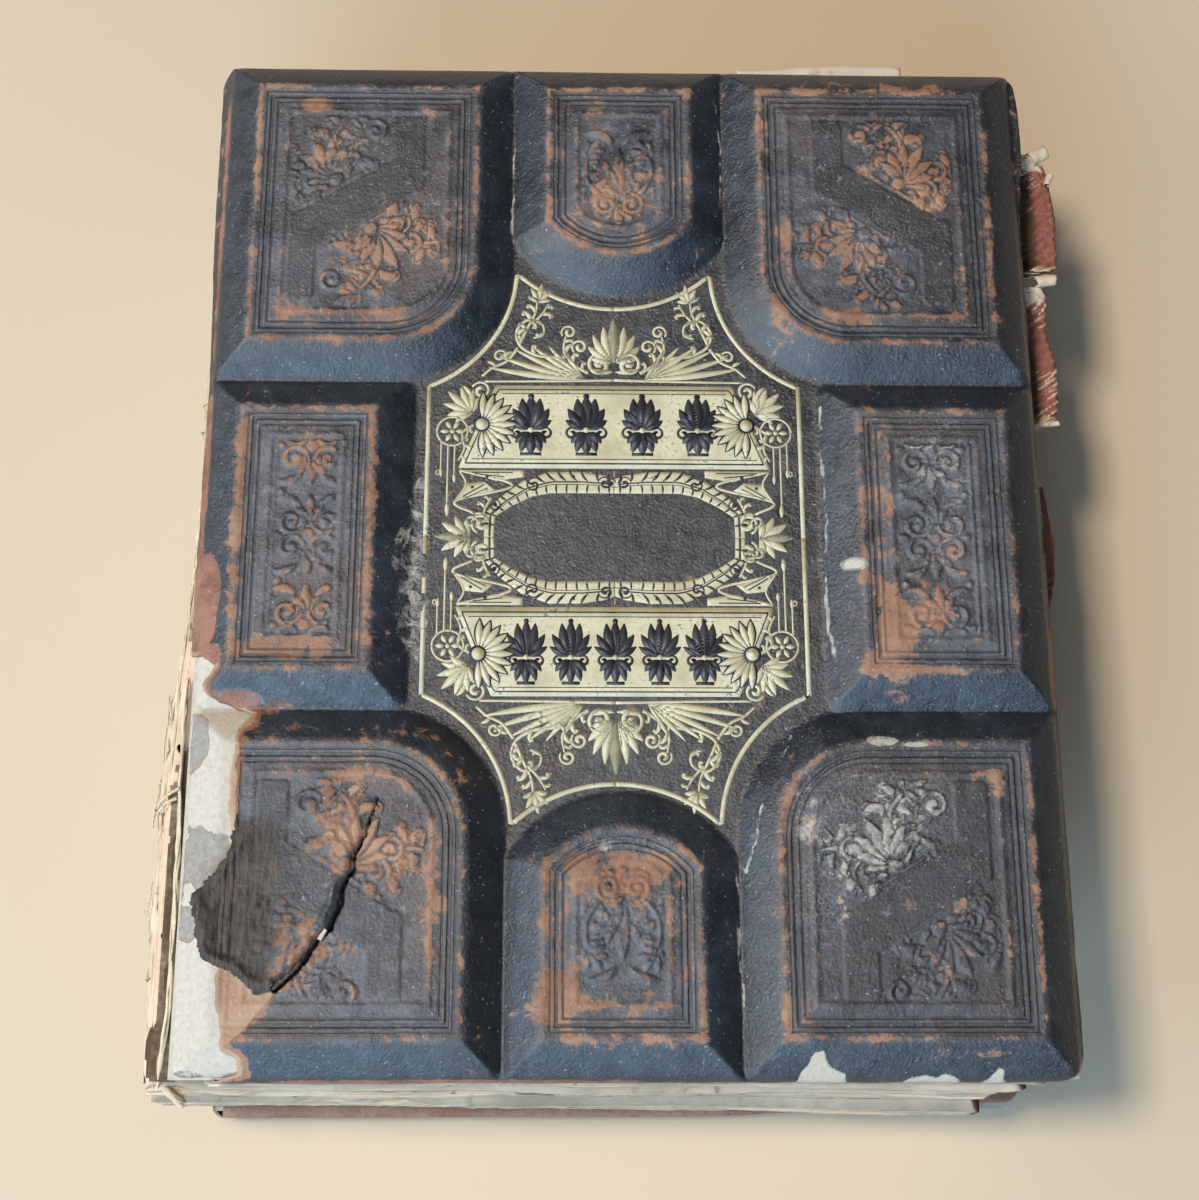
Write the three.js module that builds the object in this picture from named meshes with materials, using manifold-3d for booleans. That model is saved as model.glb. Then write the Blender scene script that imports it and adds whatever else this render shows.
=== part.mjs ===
// Large family bible with two relief covers, lying closed on its back cover.
// Millimetres, +Z up, +Y towards the head of the page, spine at -X. The origin is the
// middle of the base. Cover outlines use (u, v): u along X and v along Y, from the
// middle of the cover, and w is the height above the board's inner face.
import * as THREE from "three";
import { mergeVertices } from "three/addons/utils/BufferGeometryUtils.js";
import Module from "manifold-3d";

const wasm = await Module();
wasm.setup();

const GAP = 0.3; // clearance kept between separate pieces

// covers
const COVER_W = 254;
const COVER_H = 320;
const FRONT_Y = -2; // middle of the front cover
const BACK_Y = FRONT_Y - 7.5; // the back cover has crept towards the tail
const BOARD_T = 4.5;
const LEATHER_T = 1.0;
const TURN_IN = 15; // leather folded over onto the inner face
const BASE_W = BOARD_T + GAP + LEATHER_T; // outer surface of the flat leather
const INNER_W = -GAP - 0.8; // inner face of turn-ins and pastedown

// raised panels: inset from the outline against height above the board
const PROFILE = [[0, 0], [1.2, 1.1], [4.65, 3.8], [7.4, 5.75], [9.3, 6.9]];
const PANEL_MID = -1.5; // the panels' axis of symmetry
const RIM = GAP + LEATHER_T; // so the leather over the panels ends flush with the edge
const CORNER = { halfGap: 34.5, height: 108.5, round: 37 };
const SIDE = { spine: -65.5, fore: 60.5, top: 48, bottom: -54 };
const ARCH = { half: 32.5, centre: 42, radius: 38 }; // centre: depth below the edge

// page block, from the back cover upwards
const BACK_BOARD_Z = 13; // inner face of the back board
const LEAF_T = 0.6;
const SECTION_T = 6.36;
const REAR_SECTIONS = 5;
const LOWER_FRONT_SECTIONS = 3; // under the loose leaves; one more lies above them
const LOOSE_T = 0.9;
const SLIP_T = 0.5;
const TITLE_T = 1.0;
const PAGE_W = 246;
const PAGE_H = 308;
const FRONT_TAIL_Y = FRONT_Y - COVER_H / 2 - 3;
const REAR_TAIL_Y = FRONT_TAIL_Y - 2.5;
const SPINE_BULGE = 12.6;
const SPINE_MID_Z = 46.8;
const SPINE_HALF = 37; // half height of the spine's rounding
const FOLD_ROUND = 1.4;
const CORD_Y = [-110, -55, 0, 55, 110]; // from the middle of the page
const CORD_W = 3;
const CORD_DEPTH = 2.3;
const LINING_T = 0.8;

// torn leaves that stand out at the fore-edge: reach, and v of their two sides
const LOOSE_TABS = {
  loose_leaves_tail: [134.8, -24, 28],
  loose_leaves_middle: [139.6, 40, 91],
  loose_leaves_head: [142.6, 93, 144],
};

const COLOURS = {
  leather: 0x20242c, board: 0xb9b3a4, lining: 0xcabf9f,
  paper: 0xd9cdae, stained: 0x8d3f30, cord: 0xb39b6b,
};

const group = new THREE.Group();
group.name = "bible";

// ---------------------------------------------------------------- solids

function toManifold(geometry) {
  const bare = geometry.clone();
  bare.deleteAttribute("normal");
  bare.deleteAttribute("uv");
  const merged = mergeVertices(bare, 1e-4);
  const vertProperties = new Float32Array(merged.getAttribute("position").array);
  const triVerts = new Uint32Array(merged.index.array);
  return new wasm.Manifold(new wasm.Mesh({ numProp: 3, vertProperties, triVerts }));
}

function toGeometry(solid) {
  const mesh = solid.getMesh();
  const g = new THREE.BufferGeometry();
  g.setAttribute("position", new THREE.BufferAttribute(mesh.vertProperties, 3));
  g.setIndex(new THREE.BufferAttribute(mesh.triVerts, 1));
  return g;
}

const joined = (list) => wasm.Manifold.union(list.map(toManifold));

function cut(base, ...cutters) {
  return toGeometry(toManifold(base).subtract(joined(cutters)));
}

function box(u0, u1, v0, v1, w0, w1) {
  const g = new THREE.BoxGeometry(u1 - u0, v1 - v0, w1 - w0);
  return g.translate((u0 + u1) / 2, (v0 + v1) / 2, (w0 + w1) / 2);
}

// A flat outline in XY, given depth along Z.
function slab(points, z0, z1) {
  const shape = new THREE.Shape(points.map(([x, y]) => new THREE.Vector2(x, y)));
  const options = { depth: z1 - z0, bevelEnabled: false };
  return new THREE.ExtrudeGeometry(shape, options).translate(0, 0, z0);
}

// A cross-section in XZ, given length along Y.
function bar(points, y0, y1) {
  return slab(points, 0, y1 - y0).rotateX(Math.PI / 2).translate(0, y1, 0);
}

// A closed solid through rings of points, all convex and counter-clockwise from above.
function loft(rings) {
  const n = rings[0].length;
  const index = [];
  for (let i = 1; i < n - 1; i++) {
    const top = (rings.length - 1) * n;
    index.push(0, i + 1, i, top, top + i, top + i + 1);
  }
  for (let r = 0; r < rings.length - 1; r++) {
    for (let i = 0; i < n; i++) {
      const a = r * n + i;
      const b = r * n + ((i + 1) % n);
      index.push(a, b, b + n, a, b + n, a + n);
    }
  }
  const g = new THREE.BufferGeometry();
  g.setAttribute("position", new THREE.Float32BufferAttribute(rings.flat(2), 3));
  g.setIndex(index);
  return g;
}

function add(name, geometry, colour, roughness = 0.8) {
  const flat = geometry.index ? geometry.toNonIndexed() : geometry;
  flat.deleteAttribute("normal");
  flat.computeVertexNormals();
  const material = new THREE.MeshStandardMaterial({ color: COLOURS[colour], roughness });
  const mesh = new THREE.Mesh(flat, material);
  mesh.name = name;
  group.add(mesh);
}

// ---------------------------------------------------------------- raised panels

function arc(cx, cy, r, from, to, steps) {
  return Array.from({ length: steps + 1 }, (_, i) => {
    const a = from + ((to - from) * i) / steps;
    return [cx + r * Math.cos(a), cy + r * Math.sin(a)];
  });
}

// Rectangle grown by `grow`, with one radius per corner, counter-clockwise from low u, v.
function roundedBox([u0, u1, v0, v1], radii, grow) {
  const corners = [[u0, v0], [u1, v0], [u1, v1], [u0, v1]];
  return corners.flatMap(([u, v], i) => {
    const r = Math.max(radii[i] + grow, 0.8);
    const inU = u === u0 ? 1 : -1;
    const inV = v === v0 ? 1 : -1;
    const start = Math.PI + (i * Math.PI) / 2;
    const steps = radii[i] > 10 ? 8 : 2;
    const cu = u + inU * (r - grow);
    const cv = v + inV * (r - grow);
    return arc(cu, cv, r, start, start + Math.PI / 2, steps);
  });
}

// Panel at the head (side 1) or tail (side -1) with its arched end towards the middle.
function archOutline(side, grow) {
  const edge = side * (COVER_H / 2 - RIM + grow);
  const centre = side * (COVER_H / 2 - ARCH.centre);
  const half = ARCH.half + grow;
  const radius = ARCH.radius + grow;
  const spread = Math.asin(half / radius);
  const middle = (-side * Math.PI) / 2;
  const round = arc(PANEL_MID, centre, radius, middle - spread, middle + spread, 12);
  return [...round, [PANEL_MID + side * half, edge], [PANEL_MID - side * half, edge]];
}

function panelOutlines() {
  const outer = COVER_W / 2 - RIM;
  const edge = COVER_H / 2 - RIM;
  const inner = { left: PANEL_MID - CORNER.halfGap, right: PANEL_MID + CORNER.halfGap };
  const deep = edge - CORNER.height;
  const r = 3;
  const big = CORNER.round;
  const rect = (bounds, radii) => (grow) => roundedBox(bounds, radii, grow);
  return {
    corner_head_spine: rect([-outer, inner.left, deep, edge], [r, big, r, r]),
    corner_head_fore: rect([inner.right, outer, deep, edge], [big, r, r, r]),
    corner_tail_spine: rect([-outer, inner.left, -edge, -deep - 5], [r, r, big, r]),
    corner_tail_fore: rect([inner.right, outer, -edge, -deep - 5], [r, r, r, big]),
    side_spine: rect([-outer, SIDE.spine, SIDE.bottom, SIDE.top], [r, r, r, r]),
    side_fore: rect([SIDE.fore, outer, SIDE.bottom, SIDE.top], [r, r, r, r]),
    arch_head: (grow) => archOutline(1, grow),
    arch_tail: (grow) => archOutline(-1, grow),
  };
}

// The panel's solid, swollen by `offset`, standing on a foot at height `foot`.
function panelSolid(outline, offset, foot) {
  const stand = BOARD_T + GAP;
  const rings = PROFILE.map(([inset, height]) => ({
    grow: offset - inset,
    w: stand + height + (height ? offset : 0),
  }));
  if (foot < stand) rings.unshift({ grow: offset, w: foot });
  return loft(rings.map(({ grow, w }) => outline(grow).map(([u, v]) => [u, v, w])));
}

// ---------------------------------------------------------------- covers

function leatherSkin(panels) {
  const u = COVER_W / 2;
  const v = COVER_H / 2;
  const wall = LEATHER_T;
  const over = Object.values(panels);
  const outside = joined([
    box(0.1 - u, u, -v, v, INNER_W, BASE_W),
    ...over.map((p) => panelSolid(p, GAP + wall, BOARD_T + GAP + 0.1)),
  ]);
  const inside = joined([
    box(-u - 1, u - wall, wall - v, v - wall, -GAP, BOARD_T + GAP),
    box(-u - 1, u - TURN_IN, TURN_IN - v, v - TURN_IN, INNER_W - 1, 0),
    ...over.map((p) => panelSolid(p, GAP, BOARD_T)),
  ]);
  return toGeometry(outside.subtract(inside));
}

// Where the leather has been torn from the lower spine corner, down to the board.
function tornCorner() {
  const left = -COVER_W / 2 - 1;
  const low = -COVER_H / 2 - 1;
  const line = [[18, 0], [20, 8], [14, 15], [17, 24], [13, 34], [13, 66], [16, 76],
    [14, 90], [21, 104], [5, 110], [7, 118], [0, 124]];
  const edge = line.map(([a, b]) => [left + a, low + b]);
  return slab([[left, low], ...edge], -10, 30);
}

// A torn tongue of leather that has lifted off the panel beside the bare corner.
function leatherFlap() {
  const rest = BOARD_T + 2 * GAP + LEATHER_T + PROFILE.at(-1)[1] + GAP;
  const points = [[5, 57], [9, 36], [23, 27], [33, 29], [42, 41], [38, 49], [25, 58], [12, 64]];
  const placed = points.map(([a, b]) => [a - COVER_W / 2, b - COVER_H / 2]);
  return slab(placed, rest, rest + LEATHER_T);
}

function addCover(side, place) {
  const panels = panelOutlines();
  const u = COVER_W / 2;
  const v = COVER_H / 2;
  const inset = LEATHER_T + GAP;
  const rim = TURN_IN + GAP;
  add(`${side}_board`, place(box(0.1 - u, u - inset, inset - v, v - inset, 0, BOARD_T)), "board");
  for (const [name, outline] of Object.entries(panels)) {
    const solid = panelSolid(outline, 0, BOARD_T + GAP);
    add(`${side}_panel_${name}`, place(solid), "board");
  }
  const skin = leatherSkin(panels);
  const worn = side === "front" ? cut(skin, tornCorner()) : skin;
  add(`${side}_leather`, place(worn), "leather", 0.5);
  const sheet = box(0.6 - u, u - rim, rim - v, v - rim, INNER_W, -GAP);
  add(`${side}_pastedown`, place(sheet), "lining");
}

// Turns a cover over so that its panels face down.
function turnedOver(geometry) {
  const g = geometry.index ? geometry.toNonIndexed() : geometry.clone();
  g.scale(1, 1, -1);
  const at = g.getAttribute("position");
  for (let i = 0; i < at.count; i += 3) {
    const [x, y, z] = [at.getX(i + 1), at.getY(i + 1), at.getZ(i + 1)];
    at.setXYZ(i + 1, at.getX(i + 2), at.getY(i + 2), at.getZ(i + 2));
    at.setXYZ(i + 2, x, y, z);
  }
  return g;
}

// ---------------------------------------------------------------- page block

// X of the folded edge of the pages at height z.
function spineX(z) {
  const t = (z - SPINE_MID_Z) / SPINE_HALF;
  return -COVER_W / 2 - SPINE_BULGE * Math.sqrt(1 - t * t);
}

function heights(z0, z1, steps) {
  return Array.from({ length: steps + 1 }, (_, i) => z0 + ((z1 - z0) * i) / steps);
}

// A band that follows the rounded spine, between two distances outside the folds.
function spineBand(from, to, z0, z1, steps) {
  const zs = heights(z0, z1, steps);
  const near = zs.map((z) => [spineX(z) - from, z]);
  const far = zs.map((z) => [spineX(z) - to, z]);
  return [...far.reverse(), ...near];
}

const cordStations = CORD_Y.map((y) => FRONT_TAIL_Y + PAGE_H / 2 + y);

function addSection(name, z0, z1, tail) {
  const zs = heights(z0, z1, 3);
  const folds = [
    [spineX(z0) + FOLD_ROUND, z0],
    ...heights(z0 + FOLD_ROUND, z1 - FOLD_ROUND, 2).map((z) => [spineX(z), z]),
    [spineX(z1) + FOLD_ROUND, z1],
  ];
  const fore = zs.map((z) => [spineX(z) + PAGE_W, z]);
  const pages = bar([...fore, ...folds.reverse()], tail, tail + PAGE_H);
  const reach = CORD_W / 2 + GAP;
  const channel = spineBand(-CORD_DEPTH, 6, z0 - 1, z1 + 1, 4);
  const channels = cordStations.map((y) => bar(channel, y - reach, y + reach));
  add(name, cut(pages, ...channels), "paper");
}

function addSpine(body, z0, z1, steps) {
  cordStations.forEach((y, i) => {
    const cord = spineBand(-CORD_DEPTH + GAP, -GAP, z0, z1, steps);
    add(`${body}_cord_${i + 1}`, bar(cord, y - CORD_W / 2, y + CORD_W / 2), "cord");
  });
  const lining = spineBand(GAP, GAP + LINING_T, z0, z1, steps);
  add(`${body}_spine_lining`, bar(lining, FRONT_TAIL_Y + 4, FRONT_TAIL_Y + PAGE_H - 4), "lining");
}

function addLeaf(name, x0, z0, thickness, tail) {
  add(name, box(x0, x0 + PAGE_W - 10, tail, tail + PAGE_H, z0, z0 + thickness), "lining");
  return z0 + thickness + GAP;
}

// A torn piece of a leaf that has slid out; its end narrows to the tab that shows.
function looseLeaf(reach, v0, v1, z0) {
  const x0 = -110;
  const torn = 113;
  const high = FRONT_TAIL_Y + PAGE_H - 6;
  const [low, tabLow] = [FRONT_Y + v0, FRONT_Y + v0 + 3];
  const top = Math.min(FRONT_Y + v1, high);
  const outline = [[x0, low], [torn, low], [reach, tabLow], [reach, top - 3], [torn, top], [x0, top]];
  return slab(outline, z0, z0 + LOOSE_T);
}

// ---------------------------------------------------------------- assembly

addCover("back", (g) => turnedOver(g).translate(0, BACK_Y, BACK_BOARD_Z));

let z = BACK_BOARD_Z - INNER_W + GAP;
z = addLeaf("rear_flyleaf", -120, z, LEAF_T, REAR_TAIL_Y);

const rearFrom = z;
for (let i = 1; i <= REAR_SECTIONS; i++) {
  addSection(`rear_section_${i}`, z, z + SECTION_T, REAR_TAIL_Y);
  z += SECTION_T + GAP;
}
addSpine("rear", rearFrom, z - GAP, 6);

const frontFrom = z;
for (let i = 1; i <= LOWER_FRONT_SECTIONS; i++) {
  addSection(`front_section_${i}`, z, z + SECTION_T, FRONT_TAIL_Y);
  z += SECTION_T + GAP;
}
for (const [name, [reach, v0, v1]] of Object.entries(LOOSE_TABS)) {
  add(name, looseLeaf(reach, v0, v1, z), "stained");
  z += LOOSE_T + GAP;
}
addSection(`front_section_${LOWER_FRONT_SECTIONS + 1}`, z, z + SECTION_T, FRONT_TAIL_Y);
z += SECTION_T + GAP;
addSpine("front", frontFrom, z - GAP, 6);

const slip = box(39, 94, FRONT_Y + 90, FRONT_Y + COVER_H / 2 + 11.5, z, z + SLIP_T);
add("loose_slip", slip, "paper");
z += SLIP_T + GAP;
z = addLeaf("title_leaf", -117, z, TITLE_T, FRONT_TAIL_Y);
z = addLeaf("front_flyleaf", -118, z, LEAF_T, FRONT_TAIL_Y);

const frontBoardZ = z - INNER_W;
const onFront = (g) => g.translate(0, FRONT_Y, frontBoardZ);
addCover("front", onFront);
add("front_leather_flap", onFront(leatherFlap()), "leather", 0.5);

export default group;
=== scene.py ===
import math

import bpy
import numpy as np
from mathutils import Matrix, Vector


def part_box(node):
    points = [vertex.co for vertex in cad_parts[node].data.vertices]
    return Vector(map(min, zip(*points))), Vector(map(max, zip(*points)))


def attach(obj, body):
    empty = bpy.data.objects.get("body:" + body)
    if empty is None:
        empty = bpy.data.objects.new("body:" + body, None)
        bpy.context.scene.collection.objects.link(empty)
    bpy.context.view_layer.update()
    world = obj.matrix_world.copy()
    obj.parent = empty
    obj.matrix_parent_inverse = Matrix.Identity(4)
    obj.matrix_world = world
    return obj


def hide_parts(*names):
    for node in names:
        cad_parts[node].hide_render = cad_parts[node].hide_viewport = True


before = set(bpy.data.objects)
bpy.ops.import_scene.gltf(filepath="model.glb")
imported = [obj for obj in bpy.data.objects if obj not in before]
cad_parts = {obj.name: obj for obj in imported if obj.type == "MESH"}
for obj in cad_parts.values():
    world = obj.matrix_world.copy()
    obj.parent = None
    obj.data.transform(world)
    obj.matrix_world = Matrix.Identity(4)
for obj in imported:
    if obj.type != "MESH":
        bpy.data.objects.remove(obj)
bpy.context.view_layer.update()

MM = 0.001

# Heights and offsets in millimetres. (u, v) is measured on a cover from its middle, and
# w is the height above the board's inner face, as in the CAD.
HALF_W, HALF_H = 127.0, 160.0
FRONT_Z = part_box("front_board")[0].z / MM
BACK_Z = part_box("back_board")[1].z / MM
FRONT_Y = (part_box("front_board")[0].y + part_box("front_board")[1].y) / 2 / MM
BACK_Y = (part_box("back_board")[0].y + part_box("back_board")[1].y) / 2 / MM
BASE_W = 5.8       # outer face of the flat leather
RELIEF = 7.2       # how far the panels stand above it
FLANK = 10.7       # width of a panel's sloping side, measured in from its outline
PANEL_MID = -1.5
# Distances in from a panel's outline to what is tooled on its flat top.
RIDGE = 11.9
OUTER_RULE, WIDE_RULE, INNER_RULE = 13.6, 15.3, 17.2
BEAD = 20.6
FIELD = (22.0, 23.0)   # where the ornament's ground begins


def at(x, y):
    """A place on the front cover, given from its spine edge and its head edge."""
    return x - HALF_W, HALF_H - y


# ------------------------------------------------------------------ noise and shapes

def lattice(ix, iy, seed):
    """A number from 0 to 1 for each point of a grid of whole numbers, the same each time."""
    h = (ix.astype(np.int64) * 374761393 + iy.astype(np.int64) * 668265263
         + seed * 974634777) & 0xFFFFFFFF
    h = ((h ^ (h >> 13)) * 1274126177) & 0xFFFFFFFF
    return ((h ^ (h >> 16)) & 0xFFFF) / 65535.0


def noise(x, y, size, seed, octaves=3, gain=0.5):
    """Smooth noise from -1 to 1 with features about `size` across."""
    x, y = np.asarray(x, float), np.asarray(y, float)
    total, amp, norm = 0.0, 1.0, 0.0
    for o in range(octaves):
        fx, fy = x / size * 2 ** o + 17.3 * o, y / size * 2 ** o - 9.1 * o
        ix, iy = np.floor(fx), np.floor(fy)
        tx, ty = fx - ix, fy - iy
        tx, ty = tx * tx * (3 - 2 * tx), ty * ty * (3 - 2 * ty)
        low = lattice(ix, iy, seed + o) * (1 - tx) + lattice(ix + 1, iy, seed + o) * tx
        high = lattice(ix, iy + 1, seed + o) * (1 - tx) + lattice(ix + 1, iy + 1, seed + o) * tx
        total = total + amp * (2 * (low * (1 - ty) + high * ty) - 1)
        norm += amp
        amp *= gain
    return total / norm


def smooth(lo, hi, x):
    """A soft step from 0 at lo to 1 at hi."""
    t = np.clip((x - lo) / (hi - lo), 0, 1)
    return t * t * (3 - 2 * t)


def inside_box(u, v, bounds, radii):
    """Distance inside a rectangle with rounded corners, negative outside."""
    u0, u1, v0, v1 = bounds
    d = np.minimum(np.minimum(u - u0, u1 - u), np.minimum(v - v0, v1 - v))
    corners = [(u0, v0, 1, 1), (u1, v0, -1, 1), (u1, v1, -1, -1), (u0, v1, 1, -1)]
    for (cu, cv, su, sv), r in zip(corners, radii):
        pu, pv = cu + su * r, cv + sv * r
        corner = ((pu - u) * su > 0) & ((pv - v) * sv > 0)
        d = np.where(corner, r - np.hypot(u - pu, v - pv), d)
    return d


def inside_arch(u, v, side):
    """Distance inside the arched panel at the head (side 1) or the tail (side -1)."""
    centre = side * (HALF_H - 42)
    d = np.minimum(32.5 - np.abs(u - PANEL_MID), 158.7 - side * v)
    past = side * (v - centre) < 0
    return np.where(past, np.minimum(d, 38 - np.hypot(u - PANEL_MID, v - centre)), d)


PANELS = {
    "head_spine": lambda u, v: inside_box(u, v, (-125.7, -36, 50.2, 158.7), (3, 37, 3, 3)),
    "head_fore": lambda u, v: inside_box(u, v, (33, 125.7, 50.2, 158.7), (37, 3, 3, 3)),
    "tail_spine": lambda u, v: inside_box(u, v, (-125.7, -36, -158.7, -55.2), (3, 3, 37, 3)),
    "tail_fore": lambda u, v: inside_box(u, v, (33, 125.7, -158.7, -55.2), (3, 3, 3, 37)),
    "side_spine": lambda u, v: inside_box(u, v, (-125.7, -65.5, -54, 48), (3,) * 4),
    "side_fore": lambda u, v: inside_box(u, v, (60.5, 125.7, -54, 48), (3,) * 4),
    "arch_head": lambda u, v: inside_arch(u, v, 1),
    "arch_tail": lambda u, v: inside_arch(u, v, -1),
}


def panel_depth(u, v):
    """Distance inside the nearest panel's leather."""
    return np.max([f(u, v) for f in PANELS.values()], axis=0) + 1.3


def flank(d):
    """Height of a panel's side, from 0 at its foot to 1 at the edge of the flat top."""
    t = np.clip(d / FLANK, -0.3, 1.3)
    rise = t * (1.24 - 0.24 * t)
    low = 0.045 * np.log1p(np.exp(rise / 0.045))
    return 1 - 0.03 * np.log1p(np.exp((1 - low) / 0.03))


def polygon_distance(u, v, points):
    """Distance to a closed outline, positive inside it."""
    pts = np.array(points, float)
    best = np.full(np.shape(u), 1e9)
    odd = np.zeros(np.shape(u), bool)
    for (ax, ay), (bx, by) in zip(pts, np.roll(pts, -1, axis=0)):
        dx, dy = bx - ax, by - ay
        t = np.clip(((u - ax) * dx + (v - ay) * dy) / (dx * dx + dy * dy), 0, 1)
        best = np.minimum(best, np.hypot(u - ax - t * dx, v - ay - t * dy))
        if ay != by:
            crosses = (ay > v) != (by > v)
            odd ^= crosses & (u < (bx - ax) * (v - ay) / (by - ay) + ax)
    return np.where(odd, best, -best)


def line_distance(u, v, points):
    """Distance to a line through the given points."""
    best = np.full(np.shape(u), 1e9)
    for (ax, ay), (bx, by) in zip(points[:-1], points[1:]):
        dx, dy = bx - ax, by - ay
        t = np.clip(((u - ax) * dx + (v - ay) * dy) / (dx * dx + dy * dy), 0, 1)
        best = np.minimum(best, np.hypot(u - ax - t * dx, v - ay - t * dy))
    return best


# ------------------------------------------------------------------ drawn ornament
# Ornament is a list of strokes, each (points, half widths). The same strokes are pressed
# into the leather of the panels and laid as foil on the middle of the front cover.

def toward(angle):
    """The direction of an angle, or of each of several angles."""
    return np.stack([np.cos(angle), np.sin(angle)], -1)


def curve(points, n=24):
    """A smooth line through the given points (Catmull-Rom)."""
    p = np.array(points, float)
    if len(p) == 2:
        t = np.linspace(0, 1, n)[:, None]
        return p[0] * (1 - t) + p[1] * t
    p = np.vstack([2 * p[0] - p[1], p, 2 * p[-1] - p[-2]])
    out = []
    for i in range(1, len(p) - 2):
        t = np.linspace(0, 1, max(4, n // (len(p) - 3)), endpoint=i == len(p) - 3)[:, None]
        a, b, c, d = p[i - 1:i + 3]
        out.append(0.5 * (2 * b + (c - a) * t + (2 * a - 5 * b + 4 * c - d) * t ** 2
                          + (3 * b - a - 3 * c + d) * t ** 3))
    return np.vstack(out)


def line(points, width, taper=0.0, n=24):
    """A smooth stroke that may narrow towards its end."""
    pts = curve(points, n)
    t = np.linspace(0, 1, len(pts))
    return pts, width / 2 * (1 - taper * t)


def leaf(start, angle, length, width, bend=0.0, n=12):
    """A pointed leaf that starts at `start` and turns by `bend` radians on its way."""
    t = np.linspace(0, 1, n)
    pts = np.cumsum(toward(angle + bend * t) * length / (n - 1), axis=0)
    pts = np.array(start) + np.vstack([[0, 0], pts[:-1]])
    return pts, width / 2 * np.sin(np.pi * np.clip(t, 0.04, 0.985)) ** 0.8 + 0.04


def volute(centre, radius, start, turns, width, n=40):
    """A spiral that closes in on its centre; negative turns run clockwise."""
    t = np.linspace(0, 1, n)
    a = start + 2 * np.pi * turns * t
    r = radius * (1 - t) ** 0.8 + 0.1 * radius
    pts = np.array(centre) + toward(a) * r[:, None]
    return pts, width / 2 * (0.55 + 0.7 * t)


def dot(centre, radius):
    x, y = centre
    return np.array([[x - 0.01, y], [x + 0.01, y]]), np.array([radius, radius])


def palmette(base, angle, length, width, petals=7, spread=2.2):
    """A fan of leaves, the middle one longest, spread over an angle in radians."""
    out = []
    for i in range(petals):
        k = (i - (petals - 1) / 2) / ((petals - 1) / 2)
        reach = length * (1 - 0.42 * abs(k) ** 1.3)
        out.append(leaf(base, angle + k * spread / 2, reach, width * (1 - 0.2 * abs(k)), k * 0.7))
    return out


def daisy(centre, radius, petals, width):
    out = [dot(centre, radius * 0.2)]
    for i in range(petals):
        a = 2 * np.pi * i / petals
        start = np.array(centre) + radius * 0.28 * toward(a)
        out.append(leaf(start, a, radius * 0.72, width))
    return out


def spray(start, angle, length, bend, leaves, size):
    """A bending stem with curled leaves on both sides and a palmette at its tip."""
    n = 30
    t = np.linspace(0, 1, n)
    a = angle + bend * t
    pts = np.array(start) + np.cumsum(toward(a), 0) * length / n
    out = []
    for i in range(leaves):
        k = int((i + 0.6) / leaves * (n - 2))
        side = 1 if i % 2 else -1
        grow = size * (1.15 - 0.45 * i / leaves)
        hook = pts[k] + grow * 0.85 * toward(a[k] + side * 1.5)
        out.append(volute(hook, grow * 0.32, a[k] + side * 3.5, side * 1.1, 1.3, 18))
        out.append(leaf(pts[k], a[k] + side * 0.9, grow * 1.05, grow * 0.40, side * 1.4))
        out.append(leaf(pts[k], a[k] + side * 0.25, grow * 0.75, grow * 0.30, -side * 0.5))
    out.append((pts, np.linspace(0.8, 0.45, n)))
    out += palmette(pts[-1], a[-1], size * 1.2, size * 0.40, 5, 2.0)
    return out


def mirrored(strokes, in_x=True, about=0.0):
    """The strokes with their mirror image, left to right or top to bottom."""
    axis = 0 if in_x else 1
    out = list(strokes)
    for pts, w in strokes:
        q = np.array(pts, float)
        q[:, axis] = 2 * about - q[:, axis]
        out.append((q[::-1], w[::-1]))
    return out


def pressed(us, vs, strokes, gap=0.5):
    """Height of the drawn strokes on the grid, from 0 to 1. Each stroke has a groove of the
    given width round it, which also cuts the strokes drawn before."""
    step = us[1] - us[0]
    field = np.zeros((len(vs), len(us)))
    for pts, w in strokes:
        s = np.concatenate([[0], np.cumsum(np.hypot(*np.diff(pts, axis=0).T))])
        t = np.linspace(0, s[-1], max(2, int(s[-1] / (step * 0.7))))
        x, y, r = (np.interp(t, s, q) for q in (pts[:, 0], pts[:, 1], w))
        reach = r.max() + gap + step
        i0, i1 = np.searchsorted(us, (x.min() - reach, x.max() + reach))
        j0, j1 = np.searchsorted(vs, (y.min() - reach, y.max() + reach))
        if i0 >= i1 or j0 >= j1:
            continue
        cu, cv = us[None, i0:i1, None], vs[j0:j1, None, None]
        d = np.min(np.hypot(cu - x, cv - y) - r, axis=2)
        block = field[j0:j1, i0:i1]
        block[d < gap] = np.clip(0.5 - d[d < gap] / step, 0, 1)
    return field


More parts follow.
